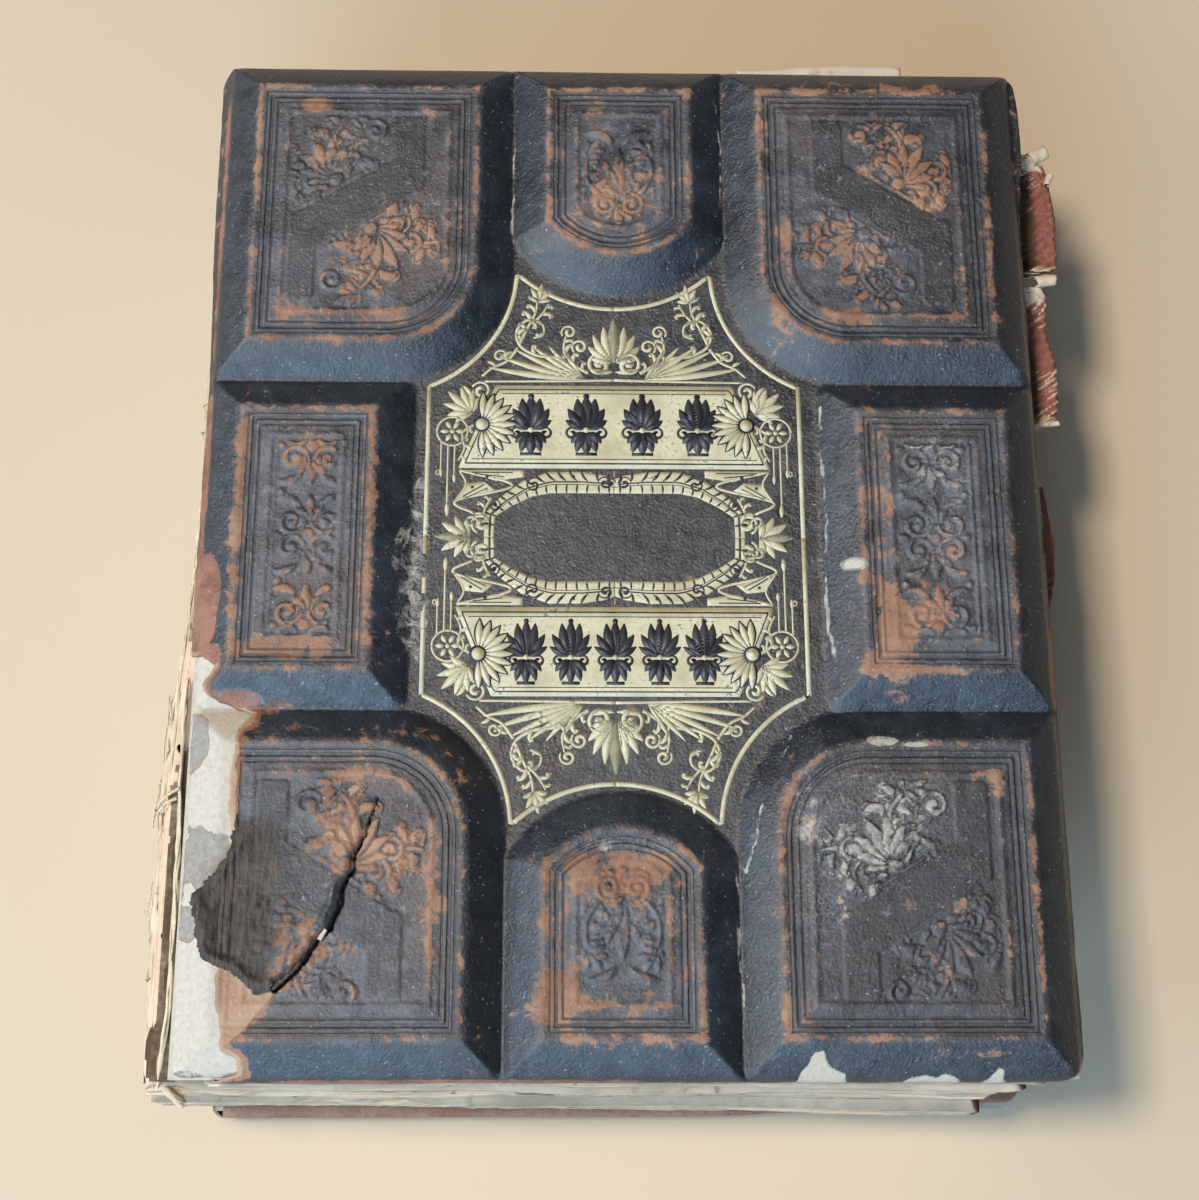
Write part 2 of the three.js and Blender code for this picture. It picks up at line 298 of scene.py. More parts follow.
def corner_ornament():
    """Ornament of a corner panel: a plain band that falls to the right between two upright
    blocks, with leafy sprays above and below it."""
    way = -0.57
    along = toward(way)
    across = np.array([-along[1], along[0]])
    bands = [(np.array([-along * 16, along * 16]), np.array([6.8, 6.8]))]
    for x in (-19.3, -16.5, -13.7):
        bands.append((np.array([(x, 31), (x, 6)], float), np.array([2.2, 2.2])))
        bands.append((np.array([(-x, -6), (-x, -31)], float), np.array([2.2, 2.2])))
    root = across * 9.6
    half = [line([across * 7.9 - along * 11, across * 7.9 + along * 13], 0.8)]
    half += spray(root - along * 3, way + math.pi - 0.55, 15, -1.1, 5, 7.4)
    half += spray(root + along * 4, way + 0.45, 15, 1.1, 5, 7.4)
    half += spray(root + across * 12 - along * 5, way + math.pi - 0.9, 11, 0.9, 4, 6.4)
    half += spray(root + across * 9 + along * 7, way + 1.0, 12, -0.7, 4, 6.4)
    half += [volute(root + across * 4 + along * 8, 3.4, way, 1.2, 1.6, 26),
             volute(root + across * 5 - along * 8, 3.4, way + 2.5, -1.2, 1.6, 26),
             volute((-6, 26), 3.6, 0.5, 1.2, 1.6, 26), volute((18, 13), 3.4, 2.0, -1.2, 1.6, 26)]
    half += palmette(root + across * 1.5, way + math.pi / 2, 15, 3.9, 7, 1.9)
    half.append(dot(root + across * 0.8, 2.0))
    return half + [(-pts, w) for pts, w in half], bands


def panel_ornament():
    """Blind-tooled ornament of the eight panels: a diagonal band between leafy sprays at the
    corners, an arabesque column at the sides, and a palmette in each arch."""
    strokes, bands = [], []
    corner = corner_ornament()
    for cu, cv, flip in ((-84.5, 106.5, (-1, 1)), (81.5, 106.5, (1, 1)),
                         (-84.5, -109.5, (-1, -1)), (81.5, -109.5, (1, -1))):
        for drawn, part in zip((strokes, bands), corner):
            drawn += [(pts * flip + [cu, cv], w) for pts, w in part]
    for cu, half in ((-94, 9.5), (92.5, 10.5)):
        column = []
        for cv in (-31, -3, 25):
            column += palmette((0, cv + 3), math.pi / 2, 9.5, 2.9, 5, 1.7)
            column += palmette((0, cv - 3), -math.pi / 2, 9.5, 2.9, 5, 1.7)
            column += [dot((0, cv), 1.8)]
            side = [volute((5.2, cv + 4), 3.8, math.pi, 1.2, 1.5),
                    volute((5.2, cv - 4), 3.8, math.pi, -1.2, 1.5),
                    leaf((3, cv + 9), 0.9, 7.5, 2.1, -1.3), leaf((3, cv - 9), -0.9, 7.5, 2.1, 1.3),
                    leaf((8, cv), 0.0, 3, 1.8), dot((half - 1, cv + 13.5), 1.0)]
            column += mirrored(side)
        column += mirrored([line([(half + 1.2, -46), (half + 1.2, 40)], 0.8)])
        column += [line([(-half - 1, end), (half + 1, end)], 0.8) for end in (40, -46)]
        strokes += [(pts + np.array([cu, 0]), w) for pts, w in column]
    for side in (1, -1):
        c = np.array([PANEL_MID, side * 116])
        motif = palmette((0, -6), math.pi / 2, 17, 3.8, 7, 2.0)
        motif += palmette((0, -9), -math.pi / 2, 8, 2.8, 5, 2.2)
        half = spray((1.5, -7), 0.15, 20, 1.9, 6, 5.6)
        half += [volute((4, -9), 3.4, math.pi / 2, -1.4, 1.4), leaf((2, 13), 0.9, 9, 2.4, -1.1)]
        motif += mirrored(half)
        strokes += [(pts * [1, side] + c, w) for pts, w in motif]
    return strokes, bands


# ------------------------------------------------------------------ meshes

def in_scene(name, data):
    """An object that holds the given data, linked to the scene."""
    ob = bpy.data.objects.new(name, data)
    bpy.context.scene.collection.objects.link(ob)
    return ob


def add_attributes(mesh, attributes):
    for key, values in attributes.items():
        layer = mesh.attributes.new(key, "FLOAT", "POINT")
        layer.data.foreach_set("value", np.asarray(values, np.float32).ravel())


def link(name, verts, faces, **attributes):
    """A smooth object from points in millimetres and lists of corners."""
    mesh = bpy.data.meshes.new(name)
    mesh.from_pydata([tuple(p) for p in np.asarray(verts, float) * MM], [], faces)
    mesh.polygons.foreach_set("use_smooth", [True] * len(mesh.polygons))
    add_attributes(mesh, attributes)
    mesh.update()
    return in_scene(name, mesh)


def fast_mesh(name, verts, quads, **attributes):
    """The same for a large mesh of quads given as an array."""
    verts = np.asarray(verts, np.float32) * MM
    quads = np.asarray(quads, np.int32)
    mesh = bpy.data.meshes.new(name)
    mesh.vertices.add(len(verts))
    mesh.vertices.foreach_set("co", verts.ravel())
    mesh.loops.add(quads.size)
    mesh.loops.foreach_set("vertex_index", quads.ravel())
    mesh.polygons.add(len(quads))
    mesh.polygons.foreach_set("loop_start", np.arange(0, quads.size, 4, dtype=np.int32))
    mesh.update(calc_edges=True)
    mesh.polygons.foreach_set("use_smooth", np.ones(len(quads), bool))
    add_attributes(mesh, attributes)
    mesh.validate()
    return in_scene(name, mesh)


def thicken(ob, thickness, offset=0):
    """Give a sheet its thickness in millimetres."""
    solid = ob.modifiers.new("thickness", "SOLIDIFY")
    solid.thickness, solid.offset = thickness * MM, offset


def flipped(quads):
    """The same quads, facing the other way."""
    return np.roll(quads[:, ::-1], 1, axis=1)


def grid_quads(nx, ny):
    """Quads of a grid of points, row by row, with nx points to a row."""
    j, i = np.meshgrid(np.arange(ny - 1), np.arange(nx - 1), indexing="ij")
    a = (j * nx + i).ravel()
    return np.stack([a, a + 1, a + 1 + nx, a + nx], 1)


def kept_quads(good):
    """The points in use, and the quads over them, where all four corners are good."""
    j, i = np.nonzero(good[:-1, :-1] & good[1:, :-1] & good[:-1, 1:] & good[1:, 1:])
    n = good.shape[1]
    a = j * n + i
    used, quads = np.unique(np.stack([a, a + 1, a + 1 + n, a + n], 1), return_inverse=True)
    return used, quads.reshape(-1, 4)


def closed_sheet(up, down, nx):
    """A thin sheet between two grids of points, with walls round its rim."""
    n = len(up)
    quads = grid_quads(nx, n // nx)
    rim = np.concatenate([np.arange(nx), np.arange(nx - 1, n, nx)[1:],
                          np.arange(n - 1, n - nx - 1, -1)[1:], np.arange(n - nx, -1, -nx)[1:]])
    walls = np.stack([rim[1:], rim[:-1], rim[:-1] + n, rim[1:] + n], 1)
    return np.vstack([up, down]), np.vstack([quads, quads[:, ::-1] + n, walls])


def tube_quads(rings, sides):
    """Quads between rings of points, each ring with the same number of sides."""
    i, k = (q.ravel() for q in np.meshgrid(np.arange(rings - 1), np.arange(sides), indexing="ij"))
    m = (k + 1) % sides
    return np.stack([i * sides + k, i * sides + m, (i + 1) * sides + m, (i + 1) * sides + k], 1)


def tube_rings(path, radius, sides, lean):
    """Rings of points round a path; the radius is one number or one for each point, and the
    first point of a ring lies at right angles to `lean`."""
    tangent = np.gradient(path, axis=0)
    tangent /= np.linalg.norm(tangent, axis=1)[:, None]
    side = np.cross(tangent, lean)
    side /= np.linalg.norm(side, axis=1)[:, None]
    other = np.cross(tangent, side)
    a = np.arange(sides)[None, :, None] / sides * 2 * np.pi
    ring = np.cos(a) * side[:, None] + np.sin(a) * other[:, None]
    radius = np.broadcast_to(radius, (len(path), sides))
    return (path[:, None] + radius[..., None] * ring).reshape(-1, 3)


def cut_grid(us, vs, inside, height, wall):
    """Quads of a grid where inside(u, v) > 0, its rim moved onto the zero line, with rings
    of wall below the rim. Returns u, v, w, quads, and the index of the first wall vertex."""
    step = us[1] - us[0]
    u, v = np.meshgrid(us, vs)
    d = inside(u, v)
    used, quads = kept_quads(d > -0.45 * step)
    u, v = u.ravel()[used], v.ravel()[used]
    starts, ends = quads.ravel(), np.roll(quads, -1, axis=1).ravel()
    total = len(used)
    forward, backward = starts * total + ends, ends * total + starts
    rim = ~np.isin(forward, backward)
    ra, rb = starts[rim], ends[rim]
    ids = np.unique(np.concatenate([ra, rb]))
    h = 0.05
    for _ in range(2):
        ru, rv = u[ids], v[ids]
        f = inside(ru, rv)
        gu = (inside(ru + h, rv) - inside(ru - h, rv)) / (2 * h)
        gv = (inside(ru, rv + h) - inside(ru, rv - h)) / (2 * h)
        g = np.maximum(gu * gu + gv * gv, 0.2)
        u[ids] -= np.clip(f * gu / g, -step, step)
        v[ids] -= np.clip(f * gv / g, -step, step)
    w = height(u, v)
    where = np.zeros(total, int)
    where[ids] = np.arange(len(ids))
    rings = wall(u[ids], v[ids], w[ids])
    pu, pv, pw = [u], [v], [w]
    walls = []
    above = ids
    base = total
    a, b = where[ra], where[rb]
    for ring_u, ring_v, ring_w in rings:
        below = base + np.arange(len(ids))
        walls.append(np.stack([above[b], above[a], below[a], below[b]], 1))
        pu.append(ring_u)
        pv.append(ring_v)
        pw.append(ring_w)
        above, base = below, base + len(ids)
    return (np.concatenate(pu), np.concatenate(pv), np.concatenate(pw),
            np.vstack([quads] + walls), total)


# ------------------------------------------------------------------ materials

class Value:
    """The output of a shader node, with arithmetic, so that a material reads as a formula."""

    def __init__(self, nodes, socket):
        self.nodes, self.socket = nodes, socket

    def __add__(self, other):
        return self.nodes.math("ADD", self, other)

    def __sub__(self, other):
        return self.nodes.math("SUBTRACT", self, other)

    def __rsub__(self, other):
        return self.nodes.math("SUBTRACT", other, self)

    def __mul__(self, other):
        return self.nodes.math("MULTIPLY", self, other)

    def __abs__(self):
        return self.nodes.math("ABSOLUTE", self)

    def most(self, other):
        return self.nodes.math("MAXIMUM", self, other)

    def ramp(self, lo, hi, out_lo=0.0, out_hi=1.0):
        """A soft step from out_lo where the value is lo to out_hi where it is hi."""
        node = self.nodes.new("ShaderNodeMapRange")
        node.interpolation_type = "SMOOTHSTEP"
        self.nodes.put(node.inputs["Value"], self)
        for key, number in (("From Min", lo), ("From Max", hi), ("To Min", out_lo), ("To Max", out_hi)):
            node.inputs[key].default_value = number
        return Value(self.nodes, node.outputs["Result"])


class Nodes:
    """Short names for the shader nodes that the materials below are built from."""

    def __init__(self, tree):
        self.tree = tree
        self.coords = self.new("ShaderNodeTexCoord").outputs["Object"]

    def new(self, kind):
        return self.tree.nodes.new(kind)

    def put(self, socket, value):
        if isinstance(value, Value):
            self.tree.links.new(value.socket, socket)
        else:
            socket.default_value = value

    def attribute(self, name):
        node = self.new("ShaderNodeAttribute")
        node.attribute_name = name
        return Value(self, node.outputs["Fac"])

    def noise(self, scale, detail=6, rough=0.6, stretch=None, distortion=0.0):
        node = self.new("ShaderNodeTexNoise")
        for key, number in (("Scale", scale), ("Detail", detail), ("Roughness", rough),
                            ("Distortion", distortion)):
            node.inputs[key].default_value = number
        place = self.coords
        if stretch:
            mapping = self.new("ShaderNodeMapping")
            mapping.inputs["Scale"].default_value = stretch
            self.tree.links.new(place, mapping.inputs["Vector"])
            place = mapping.outputs["Vector"]
        self.tree.links.new(place, node.inputs["Vector"])
        return Value(self, node.outputs["Fac"])

    def voronoi(self, scale, feature="F1"):
        node = self.new("ShaderNodeTexVoronoi")
        node.feature = feature
        node.inputs["Scale"].default_value = scale
        self.tree.links.new(self.coords, node.inputs["Vector"])
        return Value(self, node.outputs["Distance"])

    def math(self, kind, a, b=0.5, clamp=False):
        node = self.new("ShaderNodeMath")
        node.operation = kind
        node.use_clamp = clamp
        self.put(node.inputs[0], a)
        self.put(node.inputs[1], b)
        return Value(self, node.outputs[0])

    def mix(self, factor, a, b):
        node = self.new("ShaderNodeMix")
        node.data_type = "RGBA"
        node.clamp_factor = True
        self.put(node.inputs[0], factor)
        for socket, value in ((node.inputs[6], a), (node.inputs[7], b)):
            self.put(socket, (*value, 1) if isinstance(value, tuple) else value)
        return Value(self, node.outputs[2])

    def bump(self, height, strength, distance, normal=None):
        node = self.new("ShaderNodeBump")
        node.inputs["Strength"].default_value = strength
        node.inputs["Distance"].default_value = distance
        self.put(node.inputs["Height"], height)
        if normal:
            self.put(node.inputs["Normal"], normal)
        return Value(self, node.outputs["Normal"])


def material(name):
    mat = bpy.data.materials.new(name)
    mat.use_nodes = True
    tree = mat.node_tree
    return mat, Nodes(tree), tree.nodes["Principled BSDF"]


def leather_material(name, dust=1.0):
    mat, n, bsdf = material(name)
    depth, tan, red, pale, crack_shade, field, char, band, dim = (
        n.attribute(key) for key in
        ("depth", "tan", "red", "pale", "crack_shade", "field", "char", "band", "dim"))
    broad, mottled, fine = n.noise(22, 4, 0.6), n.noise(75, 7, 0.72), n.noise(420, 6, 0.7)
    speck, scuff = n.noise(950, 2, 0.5), n.noise(190, 8, 0.75, distortion=0.6)
    grain = n.voronoi(950)
    blotch = mottled.ramp(0.35, 0.65)
    # black-navy sides, duller and greyer flat tops, a dark ground in the channels
    top = depth.ramp(9.6, 11.4)
    side_colour = n.mix(blotch, (0.013, 0.019, 0.030), (0.030, 0.043, 0.064))
    top_dark = n.mix(blotch, (0.026, 0.030, 0.040), (0.104, 0.114, 0.140))
    top_brown = n.mix(blotch, (0.044, 0.036, 0.038), (0.120, 0.098, 0.098))
    field_colour = n.mix(blotch, (0.019, 0.025, 0.035), (0.056, 0.071, 0.090))
    colour = n.mix(top, side_colour, n.mix(broad.ramp(0.47, 0.66), top_dark, top_brown))
    colour = n.mix(field * 0.85, colour, field_colour)
    colour = n.mix(depth.ramp(2.8, -0.3) * 0.5, colour, (0.010, 0.010, 0.013))
    colour = n.mix(band * 0.62, colour, (0.026, 0.028, 0.036))
    colour = n.mix(dim * 0.85, colour, (0.012, 0.014, 0.019))
    # dust and rubbed grain
    rubbed = fine.ramp(0.52, 0.72) * scuff.ramp(0.44, 0.60)
    rubbed = rubbed * ((top * 0.75 + 0.20) * ((1.0 - dim * 0.7) * dust))
    colour = n.mix(rubbed, colour, (0.25, 0.27, 0.29))
    # blind-ruled lines round each panel
    wide = abs(depth - WIDE_RULE).ramp(0.75, 0.35)
    inner = abs(depth - INNER_RULE).ramp(0.45, 0.20)
    outer = abs(depth - OUTER_RULE).ramp(0.42, 0.18)
    tooled = wide.most(inner.most(outer)) * tan.most(char).ramp(0.98, 0.80)
    # bare brown leather where the surface has rubbed away
    worn = (tan + (scuff - 0.5) * 2.6 + (mottled - 0.5) * 1.5).ramp(0.36, 0.66)
    tan_colour = n.mix(broad.ramp(0.40, 0.60), (0.27, 0.108, 0.050), (0.37, 0.185, 0.105))
    tan_colour = n.mix(mottled.ramp(0.4, 0.7) * 0.7, tan_colour, (0.47, 0.275, 0.175))
    tan_colour = n.mix(fine.ramp(0.45, 0.7) * 0.55, tan_colour, (0.17, 0.085, 0.050))
    suede_colour = n.mix(blotch, (0.42, 0.235, 0.14), (0.56, 0.36, 0.235))
    tan_colour = n.mix(tan.ramp(0.95, 1.12), tan_colour, suede_colour)
    colour = n.mix(worn * 0.90, colour, tan_colour)
    colour = n.mix(tooled * mottled.ramp(0.35, 0.6, 0.2, 0.75), colour, (0.016, 0.014, 0.015))
    red_edge = (red + (scuff - 0.5) * 0.9).ramp(0.35, 0.6)
    red_colour = n.mix(mottled.ramp(0.4, 0.6), (0.20, 0.075, 0.045), (0.33, 0.150, 0.100))
    colour = n.mix(red_edge, colour, red_colour)
    # chipped and dusty places, with fine crackle round them, and pale specks
    pale_edge = (pale + (scuff - 0.5) * 1.5).ramp(0.42, 0.62)
    crackle = n.voronoi(620, "DISTANCE_TO_EDGE").ramp(0.07, 0.015)
    crackle = crackle * (pale + (broad - 0.5) * 0.6).ramp(0.10, 0.34)
    colour = n.mix(crackle * 0.30, colour, (0.34, 0.37, 0.39))
    pale_colour = n.mix(fine.ramp(0.35, 0.65), (0.24, 0.235, 0.23), (0.56, 0.53, 0.47))
    pale_colour = n.mix(pale.ramp(0.85, 1.0), pale_colour, (0.66, 0.58, 0.47))
    colour = n.mix(pale_edge * 0.85, colour, pale_colour)
    colour = n.mix(speck.ramp(0.685, 0.73) * 0.6 * dust, colour, (0.42, 0.42, 0.41))
    # the darkened tongue, and painted shade: the crack coloured near black
    streaks = n.noise(1.0, 6, 0.75, stretch=(900, 120, 300)).ramp(0.35, 0.65)
    burnt = n.mix(streaks, (0.009, 0.006, 0.005), (0.082, 0.062, 0.050))
    burnt = n.mix(scuff.ramp(0.55, 0.68) * 0.8, burnt, (0.13, 0.062, 0.040))
    colour = n.mix((char + (scuff - 0.5) * 1.2).ramp(0.3, 0.7), colour, burnt)
    colour = n.mix(crack_shade, colour, (0.003, 0.002, 0.002))
    n.put(bsdf.inputs["Base Color"], colour)
    bare = worn.most(char).most(red_edge.most(pale_edge))
    rough = mottled.ramp(0.3, 0.7, 0.27, 0.40) + top * 0.13 + rubbed * 0.25
    n.put(bsdf.inputs["Roughness"], n.math("ADD", rough, bare * 0.30, clamp=True))
    bsdf.inputs["Specular IOR Level"].default_value = 0.95
    height = grain * 0.4 + fine * 0.8 - tooled * 1.3 - bare * 0.6
    n.put(bsdf.inputs["Normal"], n.bump(height, 0.5, 0.0006, n.bump(scuff, 0.45, 0.0012)))
    return mat


def gold_material(name):
    mat, n, bsdf = material(name)
    fine, broad = n.noise(900, 6, 0.7), n.noise(110, 6, 0.7)
    gold = n.mix(broad.ramp(0.3, 0.7), (0.50, 0.455, 0.29), (0.72, 0.675, 0.475))
    worn = (fine + broad * 0.8).ramp(0.99, 1.14)
    n.put(bsdf.inputs["Base Color"], n.mix(worn * 0.9, gold, (0.12, 0.115, 0.10)))
    n.put(bsdf.inputs["Roughness"], broad.ramp(0.3, 0.7, 0.38, 0.55))
    n.put(bsdf.inputs["Normal"], n.bump(fine, 0.2, 0.0003))
    return mat


def ink_material(name):
    mat, n, bsdf = material(name)
    fine, broad = n.noise(900, 6, 0.7), n.noise(110, 6, 0.7)
    dark = n.mix(broad.ramp(0.3, 0.7), (0.026, 0.026, 0.034), (0.062, 0.062, 0.074))
    n.put(bsdf.inputs["Base Color"], dark)
    bsdf.inputs["Roughness"].default_value = 0.42
    n.put(bsdf.inputs["Normal"], n.bump(fine, 0.2, 0.0003))
    return mat


def paper_material(name, light, deep, edge_lines=0, stain=None):
    """Old paper. The attribute `stain` marks the red-edged part, and on the fanned leaves it is also lowered
    on the crests of the folds as a painted highlight; `shade` darkens the paper as painted shade in folds,
    splits, gaps and hollows, and darker towards the rims of the single sheets;
    edge_lines is how finely the leaves' edges show, with painted shade in the gaps between them, and stain
    the colour of the red."""
    mat, n, bsdf = material(name)
    broad, fine = n.noise(45, 6, 0.65), n.noise(520, 6, 0.7)
    colour = n.mix(broad.ramp(0.3, 0.7), light, deep)
    colour = n.mix(n.noise(95, 3, 0.5).ramp(0.63, 0.72) * 0.35, colour, (0.36, 0.22, 0.10))
    colour = n.mix(fine.ramp(0.5, 0.75) * 0.25, colour, tuple(c * 0.7 for c in deep))
    if stain:
        amount = (n.attribute("stain") + (broad - 0.5)).ramp(0.3, 0.7)
        reds = n.mix(fine.ramp(0.35, 0.7), stain, tuple(c * 1.5 + 0.035 for c in stain))
        colour = n.mix(amount, colour, reds)
    shade_darkening = (n.attribute("shade") + (fine - 0.5) * 0.6).ramp(0.15, 0.9)
    colour = n.mix(shade_darkening, colour, (0.10, 0.06, 0.035))
    height = fine
    if edge_lines:
        # painted shade in the gaps between the leaves' edges
        gap = n.noise(1.0, 2, 0.5, stretch=(18, 18, edge_lines)).ramp(0.30, 0.44)
        colour = n.mix((1.0 - gap) * 0.45, colour, (0.13, 0.075, 0.045))
        height = fine * 0.4 + gap
    n.put(bsdf.inputs["Base Color"], colour)
    bsdf.inputs["Roughness"].default_value = 0.88
    bsdf.inputs["Specular IOR Level"].default_value = 0.25
    n.put(bsdf.inputs["Normal"], n.bump(height, 0.45, 0.0005))
    return mat


def board_material(name):
    """Pasteboard; the attribute `grey` marks where its pale face has come off."""
    mat, n, bsdf = material(name)
    broad, fine = n.noise(60, 8, 0.7), n.noise(600, 6, 0.75)
    pale = n.mix(fine.ramp(0.35, 0.7), (0.64, 0.585, 0.505), (0.52, 0.465, 0.39))
    grey = n.mix(fine.ramp(0.4, 0.65), (0.30, 0.275, 0.25), (0.40, 0.37, 0.33))
    patch = (n.attribute("grey") + (broad - 0.5) * 0.9).ramp(0.42, 0.52)
    colour = n.mix(patch, pale, grey)
    colour = n.mix(abs(patch - 0.5).ramp(0.5, 0.2) * 0.6, colour, (0.22, 0.17, 0.12))
    dirt = n.noise(240, 5, 0.7).ramp(0.62, 0.75)
    n.put(bsdf.inputs["Base Color"], n.mix(dirt * 0.5, colour, (0.22, 0.16, 0.11)))
    bsdf.inputs["Roughness"].default_value = 0.9
    n.put(bsdf.inputs["Normal"], n.bump(patch * -1.2 + fine, 0.5, 0.0006))
    return mat


def cord_material(name):
    mat, n, bsdf = material(name)
    twist = n.noise(1.0, 4, 0.6, stretch=(900, 2600, 900))
    colour = n.mix(twist.ramp(0.35, 0.65), (0.55, 0.44, 0.30), (0.80, 0.68, 0.51))
    n.put(bsdf.inputs["Base Color"], colour)
    bsdf.inputs["Roughness"].default_value = 0.9
    n.put(bsdf.inputs["Normal"], n.bump(twist, 0.3, 0.0001))
    return mat


LEATHER = leather_material("leather_front")
LEATHER_BACK = leather_material("leather_back", 0.7)
GOLD = gold_material("gold_stamp")
INK = ink_material("gold_stamp_dark")
PAGES = paper_material("pages", (0.86, 0.655, 0.475), (0.70, 0.51, 0.35), 5200, (0.22, 0.075, 0.05))
LOOSE = paper_material("loose_pages", (0.84, 0.72, 0.58), (0.66, 0.51, 0.38), 0, (0.25, 0.088, 0.066))
LINING = paper_material("lining", (0.74, 0.64, 0.49), (0.55, 0.43, 0.29))
ENDPAPER = paper_material("endpaper", (0.68, 0.60, 0.46), (0.58, 0.48, 0.34))
SLIP = paper_material("slip_paper", (0.86, 0.82, 0.76), (0.76, 0.70, 0.62))
BOARD = board_material("pasteboard")
CORD = cord_material("sewing_cord")
ROLLS = paper_material("torn_paper", (0.80, 0.67, 0.50), (0.62, 0.48, 0.33))


def dress(ob, mat):
    """Give a piece its one material."""
    ob.data.materials.clear()
    ob.data.materials.append(mat)
    return ob


# ------------------------------------------------------------------ the covers

TORN = [at(x, y) for x, y in [
    (-8, 197), (3, 199), (7, 203), (4, 208), (5, 211), (12, 214), (19, 216), (15, 222), (15, 228),
    (13.9, 236), (14.4, 247), (15.6, 257), (15, 262), (15, 280), (13, 291), (13.6, 300), (15.5, 307),
    (15.8, 311), (19.6, 313.6), (20, 317), (14, 318.6), (5, 319.2), (4, 323), (-8, 323)]]
CRACK = [at(x, y) for x, y in [
    (56.1, 241.7), (54.4, 247), (53.4, 252.5), (49.9, 257.8), (49.7, 262), (47.3, 267.5),
    (46.5, 272.5), (44.0, 278.5), (41.3, 281), (38.6, 285.5), (35.3, 290), (32.5, 292.6), (29.5, 295.4)]]
TONGUE = [at(x, y) for x, y in [
    (55.8, 242.3), (53.9, 247.3), (52.8, 252.5), (49.3, 257.9), (49.1, 262), (46.7, 267.5), (45.9, 272.5),
    (43.3, 278.2), (40.6, 280.8), (37.9, 285.2), (34.6, 289.6), (31.5, 292.8), (27.8, 295.6), (24.4, 296.3),
    (20.6, 293.9), (16.7, 290), (12.2, 288.9), (8, 285), (6.7, 276), (5.4, 269.4), (8.3, 265.6),
    (11.1, 263.9), (13.3, 259.4), (15.6, 255), (16.2, 245), (17.3, 236), (22.8, 235.0), (36, 237.5)]]
SUEDE = [at(x, y) for x, y in [
    (12, 284), (20, 288), (34, 290.5), (30, 296), (26, 301), (21, 306), (17, 309.8), (12, 310)]]
SCALLOP = [at(x, y) for x, y in [
    (66, 136), (63, 146), (61, 157), (57.6, 163), (57, 170), (59.4, 176), (58.4, 184), (59.4, 192),
    (63, 198), (67.5, 203), (68.5, 190), (68.5, 140)]]

CHIPS = [[at(x, y) for x, y in chip] for chip in (
    [(172, 322), (174.8, 317.5), (178.2, 312), (180.4, 311.8), (182.2, 315.2), (186.5, 317.4), (188.5, 322)],
    [(200, 322), (204, 318.9), (208, 317.8), (211.5, 318.7), (214.8, 317.6), (219, 319.2), (221, 322)],
    [(223, 322), (226, 319.2), (229.4, 315.8), (231, 316.6), (231.2, 319), (233.5, 322)])]

# Places where the leather's surface has rubbed away: x, y, half widths, strength.
TAN_PATCHES = [
    (30, 18, 9, 3, 0.9), (65, 24, 3, 9, 0.5), (48, 72, 17, 15, 0.42), (74, 75, 6, 20, 0.45),
    (40, 92, 34, 4, 0.7), (12, 60, 3, 34, 0.35), (76, 35, 2, 28, 0.45), (30, 40, 12, 6, 0.25),
    (12, 155, 3.5, 46, 0.75), (30, 198, 23, 4, 0.85), (50, 155, 3, 44, 0.6), (30, 128, 8, 10, 0.35),
    (30, 186, 11, 10, 0.35), (52, 196, 6, 9, 0.55), (15, 236, 3, 26, 0.9), (30, 232, 14, 4, 0.5),
    (50, 240, 14, 12, 0.6), (61, 255, 9, 14, 0.62), (72, 265, 4, 30, 0.7), (76, 245, 4, 20, 0.55),
    (50, 282, 10, 8, 0.45), (22, 297, 9, 9, 1.0), (50, 222, 32, 3, 0.55), (106, 13, 6, 4, 0.45),
    (118, 18, 6, 4, 0.5),
    (140, 18, 6, 4, 0.45), (125, 46, 16, 12, 0.42), (125, 63, 24, 5, 0.5), (105, 35, 3, 22, 0.4),
    (125, 263, 21, 9, 0.85), (107, 275, 5, 17, 0.8), (108, 296, 9, 12, 0.85), (125, 299, 16, 5, 0.6),
    (142, 275, 5, 17, 0.7), (125, 309, 24, 2.5, 0.5), (200, 9, 34, 3, 0.75), (172, 32, 3, 28, 0.5),
    (176, 76, 4, 24, 0.75), (192, 91, 14, 6, 0.6), (206, 30, 8, 13, 0.45), (222, 45, 11, 9, 0.5),
    (232, 83, 4, 12, 0.45), (241, 70, 2.5, 28, 0.6), (228, 91, 15, 3, 0.6), (203, 160, 4, 46, 0.6),
    (206, 192, 8, 17, 1.0), (217, 184, 8, 9, 0.75), (206, 201, 10, 6, 0.7), (174, 240, 5, 16, 0.5),
    (172, 266, 3, 30, 0.5), (231, 237, 7, 4, 0.7), (228, 270, 6, 5, 0.4), (174, 300, 5, 10, 0.5),
    (225, 312, 26, 2, 0.5), (240, 275, 2, 14, 0.45), (60, 307, 30, 2, 0.4), (20, 214, 12, 3, 0.7),
]
# Where the raised ornament is rubbed, in the same way.
ORNAMENT_TAN = [
    (62, 74, 22, 18, 0.95), (56, 60, 12, 10, 0.75), (30, 32, 14, 10, 0.55), (62, 28, 12, 8, 0.35),
    (56, 247, 20, 20, 1.0), (33, 282, 12, 14, 0.7), (62, 268, 10, 12, 0.8), (55, 290, 14, 10, 0.5),
    (125, 56, 14, 12, 0.85), (125, 40, 14, 14, 0.55), (222, 34, 16, 16, 0.85), (215, 52, 16, 12, 0.7),
    (190, 76, 16, 18, 0.85), (228, 62, 14, 20, 0.7), (200, 88, 18, 8, 0.7),
    (30, 132, 12, 14, 0.85), (30, 158, 12, 12, 0.35), (30, 188, 12, 14, 0.85),
    (222, 130, 14, 18, 0.25), (222, 178, 14, 16, 0.35), (125, 285, 14, 16, 0.35),
    (215, 285, 30, 20, 0.25), (228, 262, 14, 14, 0.35)]
